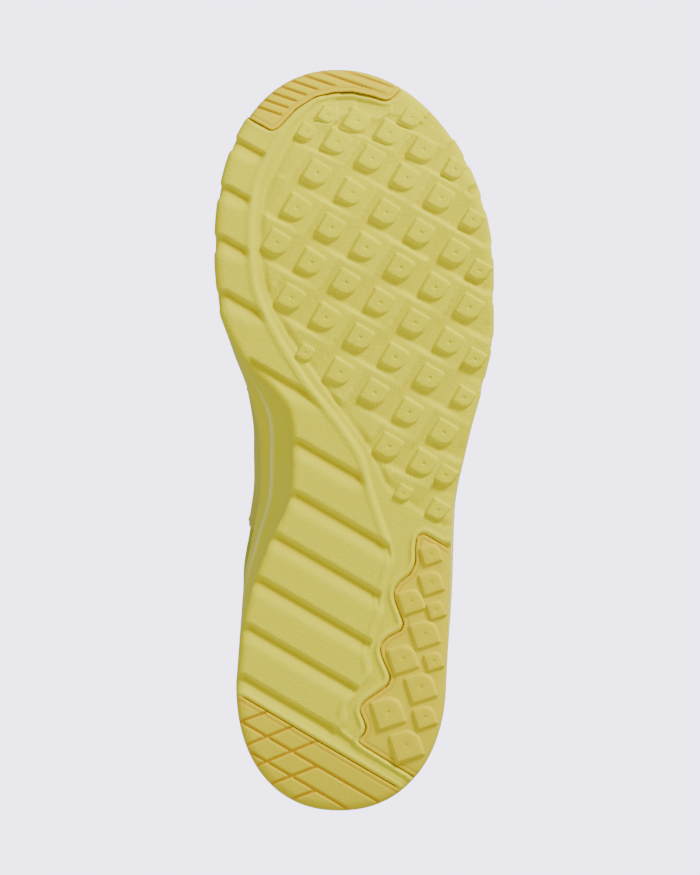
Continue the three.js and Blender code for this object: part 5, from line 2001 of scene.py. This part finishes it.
@dataclass
class Tongue:
    """The padded tongue: one soft piece that lies under the eyestays and leans forward above the
    fold line.
    """

    plan: FootPlan
    form: FootForm
    wardrobe: Wardrobe
    clearance: float = 2.0
    thickness: float = 7.0
    edge_thickness: float = 2.6
    fold_height: float = 105.0
    fold_along: float = 34.0
    top_height: float = 126.0
    lean: float = 0.62
    round_end: float = 13.0
    half_width: float = 18.0
    flare: float = 6.0
    dish: float = 6.0
    bend_half: tuple[float, float] = (0.005, 0.009)
    columns: int = 61

    def _wing_rows(self, stations: Array) -> list[Array]:
        """Points across the tongue under the eyestays, a row for each station."""
        edges = [self.form.offset(np.array([side.turn(float(s)) for s in stations]),
                                  np.full(len(stations), rise), -self.clearance)
                 for side in Side for rise in (0.84, 1.0)]
        rows = []
        for lateral_low, lateral_top, medial_low, medial_top in zip(*edges):
            crown = (lateral_top + medial_top) / 2 + np.array([0, 0, 1.2])
            knots = np.array([lateral_low, lateral_top, crown, medial_top, medial_low])
            reach = travelled(knots)
            places = np.linspace(0, reach[-1], self.columns)
            rows.append(np.column_stack([SmoothCurve(tuple(zip(reach, knots[:, k])))(places)
                                         for k in range(3)]))
        return rows

    def _free_row(self, height: float) -> Array:
        """Points across the free part of the tongue at a height."""
        rise = height - self.fold_height
        front = float(self.plan.along(self.fold_along)) + rise * self.lean
        spread = float(smoothstep(0, 12, rise))
        past = min(0.97, max(0.0, 1 - (self.top_height - height) / self.round_end))
        half = float(self.plan.across(self.half_width + spread * self.flare))
        half *= math.sqrt(1 - past**3)
        u = np.linspace(1, -1, self.columns)
        centre = float(self.plan.across(self.plan.centre(self.fold_along)))
        return np.column_stack([centre + u * half, front + self.dish * u**2 * (1 - past),
                                np.full_like(u, height)])

    def build(self) -> bpy.types.Object:
        """Builds the tongue as one closed padded piece."""
        start = self.form.throat + 0.006
        rows = self._wing_rows(np.linspace(start, 14 / 26, 40))
        low_last = rows[-1]
        first_free = self._free_row(self.fold_height)
        for share in np.linspace(0.1, 0.9, 9):
            rows.append(low_last * (1 - share) + first_free * share)
        free = np.concatenate([np.linspace(self.fold_height, self.top_height - 3, 22),
                               self.top_height - 3 * (1 - np.linspace(0, 1, 7)[1:]) ** 1.5])
        rows += [self._free_row(float(h)) for h in free]
        outer = np.stack(rows)
        for _ in range(3):
            outer[1:-1] = (outer[:-2] + 2 * outer[1:-1] + outer[2:]) / 4
        along = np.gradient(outer, axis=0)
        across = np.gradient(outer, axis=1)
        normal = unit(np.cross(across, along))
        if normal[len(rows) // 2, self.columns // 2, 2] < 0:
            normal = -normal
        u = np.abs(np.linspace(1, -1, self.columns))
        n = len(rows)
        ends = np.clip(np.minimum(np.arange(n) / 3 + 0.35, (n - 1 - np.arange(n)) / 6 + 0.2), 0, 1)
        thick = (self.thickness + (self.edge_thickness - self.thickness) * u**3)[None, :]
        thick = thick * np.sqrt(ends)[:, None] * np.sqrt(np.clip((1 - u**10), 0.05, 1))[None, :]
        middle = outer - normal * (thick[..., None] * 0.5)
        half = normal * (thick[..., None] * 0.5)
        swell = 0.5 * np.cos(np.clip(u, 0, 1) * math.pi / 2)[None, :, None] * normal
        obj = sheet_object("tongue", middle + half + swell * 0.3, middle - half)
        merge_doubles(obj, 0.01)
        dress(obj, self.wardrobe.knit)
        modifier = obj.modifiers.new("round", "SUBSURF")
        modifier.levels = modifier.render_levels = 1
        applied(obj)
        fold, (ahead, above) = float(self.plan.along(self.fold_along)) * MM, self.bend_half
        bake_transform(obj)
        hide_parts("tongue_lower", "tongue_upper")
        LOG.info("tongue: %d faces", len(obj.data.polygons))
        return obj


@dataclass
class Sockliner:
    """The removable foam insole with its raised edge."""

    plan: FootPlan
    wardrobe: Wardrobe
    inset: float = 9.1
    thickness: float = 4.5
    lip: float = 3.0
    lip_span: tuple[float, float] = (-40.0, 60.0)
    lift: float = 2.1
    stations: int = 150

    def build(self) -> bpy.types.Object:
        """Builds the sockliner as one closed mesh."""
        count = 2 * self.stations
        turns = np.linspace(0, 2, count + 1)[:-1]
        rings = []
        profile = [(0.8, 0.0, 0.0), (0.2, 0.12, 0.0), (0.0, 0.5, 0.2), (0.1, 0.95, 0.85),
                   (0.5, 1.0, 1.0), (1.4, 1.0, 0.96), (3.0, 1.0, 0.7), (5.5, 1.0, 0.3),
                   (9.0, 1.0, 0.04), (14.0, 1.0, 0.0)]
        for inset, share, lip in profile:
            flat = self.plan.inset(turns, 1.0, self.inset + inset)
            low = self.plan.bed(flat[:, 1]) + self.lift
            rim = self.lip * smoothstep(*self.lip_span, flat[:, 1]) * lip
            rings.append(np.column_stack([flat, low + self.thickness * share + rim]))
        faces = grid_faces(len(rings), count, flip=True, wrap=True)
        faces += cap_faces((len(rings) - 1) * count, self.stations, underside=True)
        vertices = np.vstack(rings)
        obj = mesh_object("insole", vertices, [f for f in faces if len(set(f)) > 2])
        add_plane_map(obj, vertices[:, :2] * MM)
        merge_doubles(obj, 0.01)
        dress(obj, self.wardrobe.lining)
        return settle(obj, Body.INSOLE, "lining", "sockliner")


# ---------------------------------------------------------------------------- studio


@dataclass
class Studio:
    """Camera below the sole, soft lights (name, place, size, watts) and a one-sided floor."""

    frame_height: float = 0.3525
    centre: tuple[float, float] = (-0.0018, -0.0008)
    lens: float = 240.0
    sensor: float = 36.0
    ambient: float = 0.58
    backdrop: Colour = (4.04, 3.68, 4.88)
    lights: tuple[tuple[str, tuple[float, float, float], float, float], ...] = (
        ("key", (1.0, -1.3, -0.85), 0.5, 44), ("low_fill", (-0.5, 0.4, -1.6), 1.6, 5),
        ("top_soft", (0.5, -0.5, 1.6), 1.2, 20))

    def camera(self) -> None:
        """Places the camera straight below the sole, with the toe at the top of the view."""
        data = bpy.data.cameras.new("camera")
        data.lens, data.sensor_width = self.lens, self.sensor
        distance = self.frame_height * self.lens / self.sensor
        data.clip_start, data.clip_end = 0.01, 100
        camera = placed("camera", data)
        right, up, back = Vector((1, 0, 0)), Vector((0, -1, 0)), Vector((0, 0, -1))
        turned = Matrix((right, up, back)).transposed()
        camera.matrix_world = Matrix.Translation((*self.centre, -distance)) @ turned.to_4x4()
        bpy.context.scene.camera = camera

    @staticmethod
    def light(name: str, place: Sequence[float], size: float, power: float) -> None:
        """Adds a square soft light that faces the shoe.

        Args:
            name: Name of the light.
            place: Where it stands, in metres.
            size: Side of the square in metres.
            power: Strength in watts.
        """
        data = bpy.data.lights.new(name, "AREA")
        data.size, data.energy = size, power
        lamp = placed(name, data)
        lamp.location = place
        lamp.rotation_euler = (-Vector(place)).to_track_quat("-Z", "Y").to_euler()

    def world(self) -> None:
        """An even pale backdrop that also fills the shadows."""
        world = bpy.data.worlds.new("studio")
        world.use_nodes = True
        tree = world.node_tree
        background = tree.nodes["Background"]
        background.inputs["Color"].default_value = (1, 0.99, 0.94, 1)
        background.inputs["Strength"].default_value = self.ambient
        seen = tree.nodes.new("ShaderNodeBackground")
        seen.inputs["Color"].default_value = (*self.backdrop, 1)
        path, mix = tree.nodes.new("ShaderNodeLightPath"), tree.nodes.new("ShaderNodeMixShader")
        tree.links.new(path.outputs["Is Camera Ray"], mix.inputs[0])
        tree.links.new(background.outputs[0], mix.inputs[1])
        tree.links.new(seen.outputs[0], mix.inputs[2])
        tree.links.new(mix.outputs[0], tree.nodes["World Output"].inputs["Surface"])
        bpy.context.scene.world = world

    def floor(self) -> bpy.types.Object:
        """A pale floor whose underside lets everything through."""
        mesh = bpy.data.meshes.new("floor")
        with edited(mesh) as work:
            bmesh.ops.create_grid(work, x_segments=8, y_segments=8, size=4.0)
        mesh.transform(Matrix.Translation((0, 0, -0.0006)))
        floor = placed("floor", mesh)
        sheet = NodeSheet("floor_paper")
        sheet.shader.inputs["Base Color"].default_value = (0.82, 0.82, 0.84, 1)
        sheet.shader.inputs["Roughness"].default_value = 0.9
        clear = sheet.node("ShaderNodeBsdfTransparent")
        below = sheet.node("ShaderNodeNewGeometry").outputs["Backfacing"]
        mixed = sheet.node("ShaderNodeMixShader", {0: below})
        sheet.tree.links.new(sheet.shader.outputs[0], mixed.inputs[1])
        sheet.tree.links.new(clear.outputs[0], mixed.inputs[2])
        output = next(n for n in sheet.tree.nodes if n.type == "OUTPUT_MATERIAL")
        sheet.tree.links.new(mixed.outputs[0], output.inputs["Surface"])
        floor.data.materials.append(sheet.material)
        for ray in ("visible_diffuse", "visible_glossy", "visible_transmission", "visible_shadow"):
            setattr(floor, ray, False)
        return floor

    def build(self) -> None:
        """Sets up the whole studio."""
        self.camera()
        self.world()
        for light in self.lights:
            self.light(*light)
        self.floor()


# ---------------------------------------------------------------------------- assembly


def dress_hidden_nodes(frame: dict, wardrobe: Wardrobe) -> None:
    """Gives the stiffeners and the board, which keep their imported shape, a finish."""
    for name in ("toe_puff", "heel_counter", "strobel_board"):
        dress(frame["nodes"][name], wardrobe.board)


def main() -> None:
    """Builds the shoe around the frame, piece by piece."""
    logging.basicConfig(level=logging.INFO, format="%(message)s")
    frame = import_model()
    Studio().build()
    wardrobe = Wardrobe()
    low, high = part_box("outsole_tread")
    plan = FootPlan(length=(high.y - low.y) / MM, width=(high.x - low.x) / MM)
    lattice = LugLattice(plan)
    tread = Tread(plan, lattice)
    tread.build(wardrobe.tread)
    tread.lugs(wardrobe.tread)
    InsertSet(plan, tread).build(wardrobe.rubber)
    Midsole(plan).build(wardrobe.midsole)
    form = FootForm(plan)
    Upper(form, wardrobe).build()
    Collar(form, wardrobe).build()
    Tongue(plan, form, wardrobe).build()
    Sockliner(plan, wardrobe).build()
    dress_hidden_nodes(frame, wardrobe)


if __name__ == "__main__":
    main()
